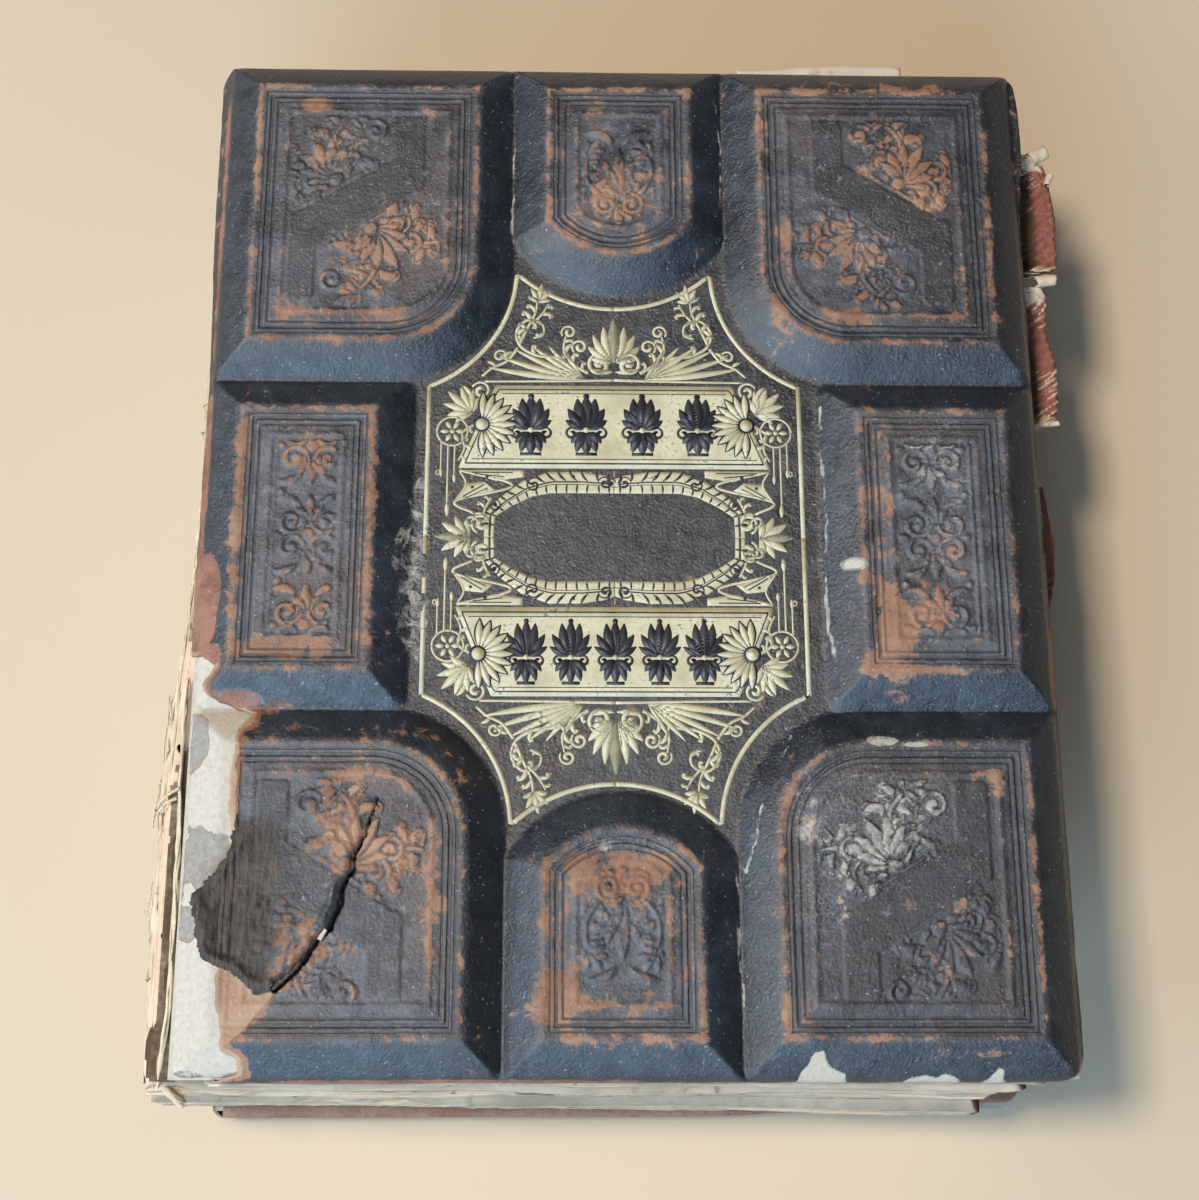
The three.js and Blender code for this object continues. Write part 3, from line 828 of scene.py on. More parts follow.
ORNAMENT_PALE = [(194, 246, 24, 18, 1.0), (182, 268, 14, 18, 0.85), (214, 232, 18, 10, 0.7),
                 (206, 66, 18, 18, 0.55), (186, 52, 10, 14, 0.45), (220, 142, 14, 26, 0.70),
                 (222, 175, 14, 18, 0.5), (58, 66, 14, 12, 0.30)]
# Chipped, scratched and dusty places.
PALE_PATCHES = [
    (195, 171, 3.6, 1.8, 1.0), (205, 64, 13, 13, 0.30), (222, 145, 12, 26, 0.32), (198, 247, 18, 15, 0.40),
    (183, 268, 8, 12, 0.35), (201, 225, 5, 1.6, 0.95), (210, 226, 4, 1.3, 0.8), (178, 245, 5, 12, 0.45),
    (253.5, 317, 1.5, 2.5, 0.6), (126, 255, 12, 3, 0.4), (22, 50, 10, 7, 0.25), (210, 150, 22, 30, 0.16),
    (40, 60, 30, 40, 0.13), (120, 245, 30, 6, 0.2), (175, 225, 10, 22, 0.22), (190, 165, 6, 48, 0.24)]
# Places where the leather is drawn darker.
DIM_PATCHES = [
    (215, 272, 44, 46, 0.62), (232, 60, 30, 70, 0.55), (250, 190, 10, 130, 0.5), (60, 40, 40, 30, 0.3),
    (85, 290, 8, 40, 0.8), (84, 240, 8, 26, 0.7), (125, 18, 34, 8, 0.3), (240, 310, 30, 9, 0.6)]
# Places worn to the red-brown layer, mostly along the edges.
RED_PATCHES = [
    (2.5, 186, 5, 14, 1.1), (5, 199, 5, 4, 0.8), (0, 60, 1.2, 60, 0.6), (0, 140, 1.4, 40, 0.7),
    (85, 0, 8, 1.6, 0.8), (104, 0, 10, 1.4, 0.7), (253.6, 200, 1.2, 12, 0.7), (14, 212, 8, 3, 0.6),
    (74, 320, 60, 1.3, 0.8)]
# Fine cracks that show as pale lines.
CRACKLE = [
    [(187, 118), (188, 150), (186.5, 180), (188.5, 200), (187, 212)],
    [(187, 212), (176, 222), (167, 238), (161, 262)], [(161, 262), (156, 255), (148, 249)],
    [(187, 212), (197, 216)], [(62, 150), (66, 165), (63, 178), (67, 192)],
    [(64, 152), (60, 170), (65, 188)], [(94, 314), (99, 309), (103, 306)], [(163, 316), (168, 312)],
    [(92, 60), (92.5, 30), (91.5, 8)], [(158, 62), (158.5, 30), (157, 10)],
    [(91, 245), (94, 252), (96, 262)], [(158, 262), (159, 290), (160, 316)], [(187, 112), (196, 110)],
]


def patches(u, v, places, seed):
    """The strongest of several soft spots, each given by place, half widths and strength."""
    out = np.zeros(np.shape(u))
    wobble = noise(u, v, 9, seed, 4, 0.6)
    for x, y, a, b, strength in places:
        cu, cv = at(x, y)
        r = np.hypot((u - cu) / a, (v - cv) / b)
        out = np.maximum(out, strength * smooth(1.5, 0.55, r + 0.45 * wobble))
    return out


def spine_lip(v):
    """How far the torn leather still reaches past the board along the spine."""
    return 1.5 + 1.9 * smooth(60, 110, v) + 0.8 * noise(v, v * 0, 21, 6, 4, 0.6)


def outline(u, v, worn):
    """Distance inside a cover's edge, with rubbed corners; worn is 1 on the front."""
    radii = (3, 8.5, 5, 6) if worn else (4, 5, 5, 3)
    swell = 0.7 + 2.6 * np.exp(-((v - 138) / 24) ** 2) if worn else 0.0
    spread = np.where(u < 0, spine_lip(v), swell)
    d = inside_box(u * HALF_W / (HALF_W + spread), v, (-HALF_W, HALF_W, -HALF_H, HALF_H), radii)
    return d - 0.35 * (1 + noise(u, v, 14, 5, 3)) * (1 if worn else 0.5)


def near(d, place, width):
    """1 where d is at the given place, falling off smoothly over the width."""
    return np.exp(-((d - place) / width) ** 2)


def on_front(u, v, w):
    """Points on the front cover, in the frame's directions."""
    return np.stack([u, v + FRONT_Y, w + FRONT_Z], 1)


def torn_distance(u, v):
    return polygon_distance(u, v, TORN) + 0.9 * noise(u, v, 5, 31, 3, 0.6)


def crack_distance(u, v):
    """Distance from the edge of the crack, which widens towards the torn tongue."""
    ragged = u + 0.7 * noise(u, v, 2.6, 77, 3, 0.7)
    return line_distance(ragged, v, CRACK) - 0.08 - 0.34 * smooth(-84, -122, v)


class CoverShape:
    """Height and wear of a cover's leather; worn is 1 on the front, 0 on the back."""

    def __init__(self, step, worn):
        self.step, self.worn = step, worn
        self.us = np.arange(-HALF_W - 5.2, HALF_W + 3.9, step)
        self.vs = np.arange(-HALF_H, HALF_H + step, step)
        strokes, bands = panel_ornament()
        raised = pressed(self.us, self.vs, strokes)
        self.bands = pressed(self.us, self.vs, bands, 0.0)
        self.raised = np.where(self.bands > 0.5, 0, raised)

    def sample(self, grid, u, v):
        """Value of a grid between its points."""
        x = np.clip((u - self.us[0]) / self.step, 0, len(self.us) - 1.001)
        y = np.clip((v - self.vs[0]) / self.step, 0, len(self.vs) - 1.001)
        i, j = x.astype(int), y.astype(int)
        fx, fy = x - i, y - j
        return ((grid[j, i] * (1 - fx) + grid[j, i + 1] * fx) * (1 - fy)
                + (grid[j + 1, i] * (1 - fx) + grid[j + 1, i + 1] * fx) * fy)

    def inside(self, u, v):
        d = outline(u, v, self.worn)
        return np.minimum(d, -torn_distance(u, v)) if self.worn else d

    def height(self, u, v):
        d = panel_depth(u, v)
        edge = np.minimum(HALF_W - np.abs(u), HALF_H - np.abs(v))
        w = BASE_W + RELIEF * flank(d)
        w -= 1.3 * (1 - np.clip(edge / 2.2, 0, 1)) ** 2 + 1.15 * np.maximum(-HALF_W - u, 0)
        top = smooth(9.5, 11.5, d)
        w += 0.25 * near(d, RIDGE, 0.8)
        w -= 0.30 * near(d, WIDE_RULE, 0.6) + 0.25 * near(d, INNER_RULE, 0.5)
        w += 0.40 * near(d, BEAD, 0.9)
        inner = smooth(*FIELD, d)
        w += inner * (0.70 * self.sample(self.raised, u, v) + 0.34 * self.sample(self.bands, u, v))
        w += 0.14 * top * noise(u, v, 7, 3, 4, 0.6)
        w += 0.22 * noise(u, v, 42, 4, 2) * (1 - 0.4 * top)
        side = smooth(0.5, 3, d) * smooth(10.5, 8, d)
        w += 0.12 * noise(u, v, 9.0, 8, 3) * side
        if self.worn:
            t = -torn_distance(u, v)
            w -= 3.0 * smooth(0.42, -0.1, crack_distance(u, v))
            w += 0.7 * np.exp(-np.maximum(t, 0) / 1.8) * smooth(0.2, 1.0, t)
            blister = smooth(1.3, 0.6, np.hypot((u + 65) / 6, (v + 10) / 22))
            w += 0.5 * blister * noise(u, v, 4, 55, 3)
        return w

    def looks(self, u, v):
        d = panel_depth(u, v)
        edge = np.minimum(HALF_W - np.abs(u), HALF_H - np.abs(v))
        inner = smooth(*FIELD, d)
        press = self.sample(self.raised, u, v) * inner
        band = self.sample(self.bands, u, v) * inner
        arris = near(d, RIDGE - 0.2, 1.25)
        inner_line = near(d, BEAD, 1.0)
        scatter = 0.5 + 0.5 * noise(u, v, 30, 12, 3)
        tan = 0.62 * arris * (0.35 + 0.85 * scatter) + (0.52 * inner_line + 0.30 * press) * scatter
        tan += 0.35 * smooth(1.6, 0.2, edge) * (0.6 + 0.4 * noise(u, v, 15, 21, 2))
        zero = np.zeros(np.shape(u))
        red = pale = crack_shade = dim = zero
        if self.worn:
            spots = patches(u, v, TAN_PATCHES, 41)
            standing = 0.45 + 0.55 * np.maximum(press, np.maximum(arris, inner_line)) - 0.5 * band
            tan = np.maximum(tan, spots * np.where(spots > 0.8, 0.9, standing + 0.1))
            rubbed = patches(u, v, ORNAMENT_TAN, 45) * inner
            tan = np.maximum(tan, rubbed * (0.95 * press + 0.12 * (1 - band)))
            t = -torn_distance(u, v)
            tan = np.maximum(tan, 1.15 * smooth(4.2, 0.8, t + 1.6 * noise(u, v, 6, 9, 3)))
            suede = polygon_distance(u, v, SUEDE)
            tan = np.maximum(tan, 1.2 * smooth(-0.8, 0.6, suede + noise(u, v, 5, 19, 3)))
            red = patches(u, v, RED_PATCHES, 43)
            pale = patches(u, v, PALE_PATCHES, 47)
            scallop = polygon_distance(u, v, SCALLOP) + 0.8 * noise(u, v, 4, 53, 3)
            dusty = smooth(-0.5, 0.7, scallop) * (0.46 + 0.14 * noise(u, v, 3, 54, 3))
            rubbed = patches(u, v, ORNAMENT_PALE, 49) * inner * (0.62 * press + 0.06)
            pale = np.maximum(pale, np.maximum(dusty, rubbed))
            for chip in CHIPS:
                within = polygon_distance(u, v, chip) + 0.6 * noise(u, v, 2.5, 59, 3, 0.6)
                pale = np.maximum(pale, 1.15 * smooth(-0.35, 0.35, within))
            warp = 1.1 * noise(u, v, 6, 61, 3, 0.6)
            uneven = 0.5 + 0.8 * noise(u, v, 5, 63, 2)
            for path in CRACKLE:
                gap = line_distance(u + warp, v - warp, [at(*p) for p in path])
                pale = np.maximum(pale, 0.85 * smooth(0.75, 0.15, gap) * uneven)
            dim = patches(u, v, DIM_PATCHES, 57)
            # painted shade: colours the crack near black
            crack_shade = smooth(0.36, 0.05, crack_distance(u, v))
        return dict(depth=d, tan=np.clip(tan, 0, 1.3), red=red, pale=pale, crack_shade=crack_shade,
                    field=smooth(0.6, -1.5, d), char=zero, band=band, dim=dim)

    def wall(self, u, v, w):
        """Rings below the rim: a torn edge is thin, the others turn in under the board."""
        if self.worn:
            torn = -torn_distance(u, v) < outline(u, v, self.worn) + 0.25
        else:
            torn = np.zeros(len(u), bool)
        spine = u < -HALF_W + 2.2
        loose = torn | spine
        tu = np.where(loose, u + 1.2, np.clip(u, -HALF_W, HALF_W - 14))
        tv = np.where(loose, v, np.clip(v, 14 - HALF_H, HALF_H - 14))
        len_in = np.maximum(np.hypot(tu - u, tv - v), 1e-6)
        nu, nv = (tu - u) / len_in, (tv - v) / len_in
        rings = []
        for drop, inward in ((0.16, -0.02), (0.45, -0.03), (0.8, 0.0), (0.93, 0.25), (1.0, 0.9)):
            level = np.where(loose, w - 1.0 * drop, w + (-1.1 - w) * drop)
            rings.append((u + nu * inward, v + nv * inward, level))
        rings.append((tu, tv, np.where(loose, w - 1.0, -1.1)))
        rings.append((tu, tv, np.where(loose, w - 0.9, -0.35)))
        return rings

    def mesh(self):
        u, v, w, quads, first_wall = cut_grid(self.us, self.vs, self.inside, self.height, self.wall)
        looks = self.looks(u, v)
        is_wall = np.arange(len(u)) >= first_wall
        looks["tan"] = np.where(is_wall, 0.42 + 0.3 * noise(u, v, 8, 71, 2), looks["tan"])
        looks["depth"] = np.where(is_wall, 4, looks["depth"])
        looks["field"] = np.where(is_wall, 0, looks["field"])
        return u, v, w, quads, looks


def front_height(u, v):
    """Height of the flat middle of the front cover, for what is stamped on it."""
    return BASE_W + RELIEF * flank(panel_depth(u, v)) + 0.22 * noise(u, v, 42, 4, 2)


FRONT_STEP = 0.52
BACK_STEP = 1.3
front_shape = CoverShape(FRONT_STEP, 1)


def front_leather():
    u, v, w, quads, looks = front_shape.mesh()
    front = fast_mesh("front_cover_leather", on_front(u, v, w), quads, **looks)
    dress(front, LEATHER)
    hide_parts("front_leather")
    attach(front, "front_cover")


def back_leather():
    """The same skin turned over; its tail edge is worn brown and curves in at the fore-edge."""
    u, v, w, quads, looks = CoverShape(BACK_STEP, 0).mesh()
    w = np.minimum(w, BACK_Z - 0.02)
    looks["tan"] = np.maximum(looks["tan"], 0.95 * smooth(8, 4, HALF_H + v))
    v = v + (4.0 * smooth(20, 110, u) - 1.0) * smooth(14, 0, HALF_H + v)
    points = np.stack([u, v + BACK_Y, BACK_Z - w], 1)
    back = fast_mesh("back_cover_leather", points, quads[:, ::-1], **looks)
    dress(back, LEATHER_BACK)
    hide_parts("back_leather")
    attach(back, "back_cover")


front_leather()
back_leather()


def bare_board():
    """Pasteboard of the lower spine panel, bare where the leather is torn away."""
    board_face = 4.75

    def inside(u, v):
        d = inside_box(u, v, (-126.8, -35.5, -158.7, -37), (4, 3, 3, 3))
        return d - 0.5 - 0.6 * noise(u, v, 11, 88, 4)

    def height(u, v):
        d = PANELS["tail_spine"](u, v)
        w = board_face + 6.9 * flank(np.maximum(d, 0) + 0.9)
        w = np.where(d < 0, board_face - 0.1, w)
        w -= 4.0 * smooth(2.6, 1.6, line_distance(u, v, CRACK))
        layers = np.floor((noise(u, v, 13, 87, 4, 0.6) + 1) * 2.4) / 2.4 * 0.55
        return w + 0.25 * layers - 0.15 + 0.08 * noise(u, v, 2.2, 90, 2)

    def wall(u, v, w):
        return [(u, v, w - 0.8), (u + 0.1, v, w * 0 + 2.2), (u + 0.1, v, w * 0 + 0.02)]

    us = np.arange(-126.7, -34, 1.0)
    vs = np.arange(-158.6, -36, 1.0)
    u, v, w, quads, _ = cut_grid(us, vs, inside, height, wall)
    grey = patches(u, v, [(2, 224, 5, 8, 0.9), (8, 258, 8, 9, 0.9), (2, 276, 6, 6, 0.8),
                          (6, 318, 6, 3, 0.5), (14, 300, 3, 9, 0.4), (1, 250, 2, 40, 0.45)], 19)
    ob = fast_mesh("torn_corner_board", on_front(u, v, w), quads, grey=grey)
    dress(ob, BOARD)
    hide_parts("front_panel_corner_tail_spine")
    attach(ob, "front_cover")


bare_board()


def torn_tongue():
    """The tongue of leather beside the crack, lifted and curled over the bare board."""
    step = 0.6
    us = np.arange(-125, -70, step)
    vs = np.arange(-137, -74, step)

    def inside(u, v):
        d = polygon_distance(u, v, TONGUE)
        free = smooth(-80, -84, v)
        left = smooth(-84, -96, u)
        return d + free * (0.35 + 0.9 * left) * (1.3 * noise(u, v, 2.6, 101, 4, 0.75) - 0.2)

    def lift(u, v):
        down = np.clip((-80 - v) / 52, 0, 1)
        left = np.clip((-104 - u) / 18, 0, 1)
        return -0.45 * smooth(-82, -78, v) + 2.0 * down ** 1.4 + 1.4 * left * down ** 0.5

    def height(u, v):
        w = np.maximum(front_shape.height(u, v), BASE_W + RELIEF * flank(panel_depth(u, v) + 7))
        far = np.clip((-80 - v) / 30, 0, 1)
        crumple = 0.7 * noise(u, v, 9, 103, 4, 0.6) + 0.7 * np.abs(noise(u, v * 0.6, 4, 104, 3, 0.6))
        rolled = np.exp(-((inside(u, v) - 1.9) / 1.3) ** 2) * smooth(-88, -100, v)
        rolled = 1.1 * rolled * (1 + 0.6 * noise(u, v, 6, 106, 2))
        return w + lift(u, v) + far * crumple * smooth(-82, -105, u) + rolled

    def wall(u, v, w):
        cu, cv = at(30, 268)
        r = np.maximum(np.hypot(cu - u, cv - v), 1e-6)
        nu, nv = (cu - u) / r, (cv - v) / r
        thick = np.clip(lift(u, v) + 0.15, 0.1, 1.7)
        return [(u - nu * 0.12, v - nv * 0.12, w - 0.3 * thick), (u, v, w - 0.8 * thick),
                (u + nu * 0.6, v + nv * 0.6, w - thick), (u + nu * 5, v + nv * 5, w - thick)]

    u, v, w, quads, first = cut_grid(us, vs, inside, height, wall)
    looks = front_shape.looks(u, v)
    is_wall = np.arange(len(u)) >= first
    rim = smooth(2.4, 0.3, inside(u, v)) * smooth(-82, -90, v)
    left = smooth(-90, -104, u) * smooth(-80, -93, v)
    looks["crack_shade"] = np.zeros(len(u))
    looks["char"] = np.where(is_wall, 0.8, np.clip(left * 0.85 + 0.45 * rim, 0, 1.1))
    tan = np.maximum(looks["tan"] * (1 - 0.55 * left), 0.5 * rim * smooth(-96, -104, u))
    looks["tan"] = np.where(is_wall, 0.3, tan)
    looks["depth"] = np.maximum(looks["depth"], 12)
    ob = fast_mesh("torn_leather_tongue", on_front(u, v, w), quads, **looks)
    dress(ob, LEATHER)
    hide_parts("front_leather_flap")
    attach(ob, "front_cover")


torn_tongue()

# ------------------------------------------------------------------ the gold stamp
# Drawn in millimetres from its own middle, one quarter at a time.

STAMP = (-3.0, -1.0)


def all_round(strokes):
    return mirrored(mirrored(strokes), in_x=False)


def on_cover(points, level):
    u, v = (np.asarray(points, float) + STAMP).T
    return on_front(u, v, front_height(u, v) + level)


def ribbon(strokes, level):
    """Thin raised ribbons that follow the strokes over the cover's surface."""
    verts, quads = [], []
    for pts, w in strokes:
        pts, w = np.asarray(pts, float), np.asarray(w, float)
        if np.ptp(pts[:, 0]) + np.ptp(pts[:, 1]) < 0.1:
            a = np.linspace(0, np.pi, 9)
            left = pts[:1] + w[0] * toward(a)
            right = pts[:1] + w[0] * toward(-a)
        else:
            tangent = np.gradient(pts, axis=0)
            tangent /= np.maximum(np.hypot(*tangent.T), 1e-9)[:, None]
            across = np.stack([-tangent[:, 1], tangent[:, 0]], 1)
            left, right = pts + across * w[:, None], pts - across * w[:, None]
        quads.append(grid_quads(2, len(left)) + len(verts))
        for p, q in zip(left, right):
            verts += [p, q]
    return on_cover(verts, level), np.vstack(quads)


def arc(centre, radius, start, end, n=28):
    return np.array(centre) + radius * toward(np.radians(np.linspace(start, end, n)))


def fat(points, width):
    """A stroke of even width through exactly the given points."""
    points = np.asarray(points, float)
    return points, np.full(len(points), width / 2)


def even(points, n):
    """n points evenly spaced along straight lines between the given ones."""
    points = np.asarray(points, float)
    s = np.concatenate([[0], np.cumsum(np.hypot(*np.diff(points, axis=0).T))])
    t = np.linspace(0, s[-1], n)
    return np.stack([np.interp(t, s, points[:, 0]), np.interp(t, s, points[:, 1])], 1)


def fill(low, high, level, rows=7):
    """A filled area between two lines of the same number of points."""
    low, high = np.asarray(low, float), np.asarray(high, float)
    t = np.linspace(0, 1, rows)[:, None, None]
    p = (low[None] * (1 - t) + high[None] * t).reshape(-1, 2)
    return on_cover(p, level), grid_quads(len(low), rows)


def merge(parts):
    verts, quads, base = [], [], 0
    for p, q in parts:
        verts.append(p)
        quads.append(q + base)
        base += len(p)
    return np.vstack(verts), np.vstack(quads)


def stamped(name, parts, mat, thick):
    verts, quads = merge(parts)
    a, b, c = (verts[quads[:, corner]] for corner in range(3))
    downward = np.cross(b - a, c - a)[:, 2] < 0
    quads = np.where(downward[:, None], quads[:, ::-1], quads)
    ob = fast_mesh(name, verts, quads)
    thicken(ob, thick, -1)
    dress(ob, mat)
    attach(ob, "front_cover")


def acanthus(points, size, count, side, width=0.9):
    """A scrolling stem with curled, ball-ended leaves along one side."""
    pts = curve(points, 60)
    out = [(pts, width / 2 * np.linspace(1.0, 0.55, len(pts)))]
    heading = np.unwrap(np.arctan2(*np.gradient(pts, axis=0).T[::-1]))
    for i in range(count):
        k = int((i + 0.35) / count * (len(pts) - 1))
        grow = size * (1.0 - 0.35 * abs(2 * i / max(count - 1, 1) - 1))
        out.append(leaf(pts[k], heading[k] + side * 0.35, grow, grow * 0.26, side * 1.5))
        out.append(dot(pts[k] + grow * 0.72 * toward(heading[k] + side * 1.1), grow * 0.12))
    return out


def motif(x, y, wide, tall):
    """A small standing plant: a fan of leaves above, a smaller one below, curls beside."""
    out = []
    for angle, length, width in ((0.30, 0.36, 0.13), (0.75, 0.46, 0.16), (1.18, 0.56, 0.18)):
        root = (0.02 * wide, -0.06 * tall)
        out += mirrored([leaf(root, angle, tall * length, wide * width * 1.25, 0.35)])
    out.append(leaf((0, -0.08 * tall), math.pi / 2, tall * 0.62, wide * 0.24))
    for angle, length in ((-0.45, 0.30), (-0.95, 0.38)):
        out += mirrored([leaf((0.02 * wide, -0.12 * tall), angle, tall * length, wide * 0.17, -0.5)])
    out.append(leaf((0, -0.10 * tall), -math.pi / 2, tall * 0.42, wide * 0.20))
    out += mirrored([volute((wide * 0.27, -tall * 0.14), wide * 0.12, 2.2, -1.1, 1.1, 22)])
    out.append(dot((0, tall * 0.52), wide * 0.06))
    out.append(line([(-wide * 0.20, -tall * 0.5), (wide * 0.20, -tall * 0.5)], 1.0, 0, 4))
    return [(pts + np.array([x, y]), w) for pts, w in out]


def stamp_lines():
    """Gold lines and leaves that lie straight on the leather, in the upper right quarter."""
    side = np.array([[57, 0], [57, 16], [57, 32], [57, 49]], float)
    big = arc((73.2, 88.5), 42.8, 247.6, 182.6)
    small = arc((0, 119.5), 44.2, -48.2, -90)
    out = [fat(side, 1.35), fat(np.vstack([side[-1:], big, small[:1]]), 1.35), fat(small, 1.35)]
    # long fan of feathers over the plaque, and the line they stand on
    out += [line([(0, 51.2), (20, 50.8), (40, 50.6)], 0.9, 0.3)]
    feathers = [(0.05, 29.5), (0.20, 27), (0.36, 23.5), (0.53, 19.5), (0.72, 15.5), (0.95, 11.5)]
    for k, (angle, length) in enumerate(feathers):
        out.append(leaf((9.5, 51.6), angle, length, 2.0 - 0.12 * k, 0.16))
    # middle palmette over two volutes
    out += [leaf((0, 57), math.pi / 2, 15.5, 3.6)]
    for angle, length in ((1.22, 12.5), (0.86, 11.0), (0.48, 9.0), (0.10, 6.8)):
        out.append(leaf((0.8, 57.2), angle, length, 2.6, 0.35))
    out += [volute((4.5, 56.4), 3.7, math.pi * 0.85, -1.5, 1.5, 44),
            leaf((0.4, 54), -0.1, 7.5, 1.6, 0.5), dot((4.5, 56.4), 1.0)]
    # scrolling spray that fills the cusp
    out += acanthus([(8, 53.5), (12.5, 56.5), (15.5, 61), (15.0, 66)], 5.4, 4, 1, 1.1)
    out += acanthus([(13, 55.5), (18, 58.5), (24, 59.5), (29, 62.5), (30.3, 67.5), (27, 71.4),
                     (22.4, 70), (22, 66.5), (25, 65.3)], 5.0, 5, 1, 1.1)
    out += acanthus([(29.5, 63), (27, 68.5), (24.5, 74), (23.8, 80)], 5.2, 5, -1, 1.0)
    out += acanthus([(25.5, 70), (22.4, 73.5), (20.4, 77)], 4.2, 3, 1, 0.9)
    out += palmette((23.6, 77.5), 1.75, 6.6, 1.8, 5, 1.9)
    out += [volute((10.6, 62.4), 2.3, -0.8, 1.3, 1.1, 26), volute((14.0, 67.4), 2.2, -0.6, 1.3, 1.0, 26),
            line([(29.8, 62), (33.2, 57.5), (37.6, 55.2), (40.8, 52.4)], 1.0, 0.3),
            volute((35.4, 59.2), 2.0, 3.6, -1.3, 0.9, 26),
            leaf((31.5, 60.5), -0.2, 4.2, 1.2, -0.9), leaf((36.5, 55.6), 0.9, 3.4, 1.0, -0.8)]
    # leaves round the daisy, outside the plaque
    out += palmette((43.5, 40), 0.75, 10.5, 2.5, 7, 1.9)
    out += acanthus([(42.5, 36.5), (46.5, 33.5), (45.8, 28.6), (47.6, 24.5)], 4.2, 4, -1, 0.9)
    out += [volute((41.0, 47.6), 2.7, 0.4, 1.35, 1.1, 28), leaf((44, 45), 1.4, 5.0, 1.3, -0.9)]
    # ring with a star and the thin rules that hang from it
    out += [fat(arc((49.6, 34.0), 4.7, 0, 360, 34), 0.62)] + daisy((49.6, 34.0), 3.7, 6, 1.3)
    out += [line([(50.8, 29.4), (50.8, 10.5)], 0.55), line([(48.8, 29.6), (48.8, 20)], 0.5),
            line([(52.9, 31), (52.9, 22)], 0.5), leaf((50.8, 11), -1.6, 4.5, 1.3),
            leaf((48.8, 20.4), -1.6, 3.2, 1.0), leaf((52.9, 22.4), -1.6, 3.2, 1.0),
            volute((53.6, 20.4), 0.9, 2.0, -1.0, 0.5, 12)]
    # folded ends of the ribbon between the plaques
    out += [line([(47.2, 21.3), (31, 16.4), (48.2, 11.4), (42.6, 7.4)], 0.8, 0, 30)]
    out += [line([(47.2, 21.3), (45.2, 16.8), (48.2, 11.4)], 0.6, 0, 20)]
    # acanthus at the cartouche's sides, and the palmette that points outward
    out += palmette((43.8, 0), 0.0, 10.5, 2.7, 7, 2.3)[3:]
    out += [volute((40.2, 4.3), 2.9, -1.2, 1.4, 1.4, 32), volute((43.4, 4.6), 2.0, 4.0, -1.2, 1.0, 26)]
    out += acanthus([(38.2, 3.5), (39.4, 8), (37.4, 12.5)], 4.0, 4, -1, 1.0)
    return out


def cartouche_frame():
    """Edges of the moulding round the eight-sided middle, in the upper right quarter."""
    inner = even([(0, 14.0), (19.5, 14.0), (25, 12.9), (31, 9.9), (36.2, 6.4), (36.4, 0)], 60)
    outer = even([(0, 18.6), (3, 19.8), (10, 20.9), (20, 20.9), (28, 17.8), (35, 12.4), (39.2, 7.4),
                  (39.4, 0)], 60)
    return inner, outer


def plaques():
    """Filled areas of gold: the two plaques, the moulding and the ribbon's folded ends."""
    inner, outer = cartouche_frame()
    fills = []
    for s in (1, -1):
        low, high = even([(-47.6, 22), (47.6, 22)], 70), even([(-36.6, 49.3), (36.6, 49.3)], 70)
        fills.append(fill(low * [1, s], high * [1, s], 0.05, 9))
    folded = [([(27.5, 19.2), (36, 17.9)], [(27.5, 21.4), (46.8, 21.4)]),
              ([(36.2, 15.0), (47.6, 11.6)], [(39.5, 17.6), (45.0, 17.0)])]
    for corner in ([1, 1], [1, -1], [-1, 1], [-1, -1]):
        fills.append(fill(inner * corner, outer * corner, 0.045))
        for low, high in folded:
            fills.append(fill(even(low, 14) * corner, even(high, 14) * corner, 0.045, 4))
    return fills


def engraved_lines():
    """Dark lines on the gold in the upper right quarter: rules of the plaques, carving of the
    moulding, scrolls and dots."""
    inner, outer = cartouche_frame()
    middle = (inner + outer) / 2
    out = [fat(even([(0, 47.9), (35.4, 47.9), (36.2, 46.9), (45.6, 23.6)], 50), 0.42),
           fat(even([(0, 46.6), (34.6, 46.6)], 30), 0.26),
           line([(0, 23.6), (45.6, 23.6)], 0.5), line([(0, 25.0), (43.6, 25.0)], 0.28),
           fat(middle[2:] + [0, 0.2], 0.44), fat(inner * 0.6 + outer * 0.4 + [0, 0.05], 0.22)]
    for k in range(2, 58, 4):
        way = outer[k] - inner[k]
        width = float(np.hypot(*way))
        angle = math.atan2(way[1], way[0])
        lean = 0.75 if 8 < k < 40 else 0.35
        out.append(leaf(middle[k] + way * 0.08, angle - lean, width * 0.62, 0.75, 0.7))
        out.append(leaf(middle[k] - way * 0.06, angle + math.pi + lean * 0.7, width * 0.45, 0.55, -0.5))
    out += [volute((2.9, 17.2), 2.0, 0.4, 1.3, 0.7, 30), volute((24.6, 16.6), 2.3, 2.4, -1.3, 0.7, 30),
            volute((36.4, 10.0), 1.9, 1.2, 1.3, 0.7, 26), dot((12.5, 19.4), 0.5), dot((16.0, 19.2), 0.4),
            line([(31, 20.6), (43.5, 20.6)], 0.35), line([(33.5, 19.2), (42.5, 20.2)], 0.35),
            dot((38.8, 19.2), 0.55), line([(39.8, 16.6), (46.0, 12.8)], 0.4),
            line([(38.6, 15.6), (45.4, 12.2)], 0.3), dot((43.2, 15.8), 0.5)]
    return out


def plaque_daisy():
    """The daisy that overlaps a plaque's end: its dark outline, and its gold petals."""
    middle = np.array([40.6, 36.4])
    outlines, petals = [], []
    for i in range(11):
        a = math.radians(92 + 176 * i / 10)
        outlines.append(leaf(middle + 2.0 * toward(a), a, 9.0, 3.1))
        petals.append(leaf(middle + 2.5 * toward(a), a, 7.9, 1.95))
    return outlines + [dot(middle, 2.7)], petals + [dot(middle, 1.9)]


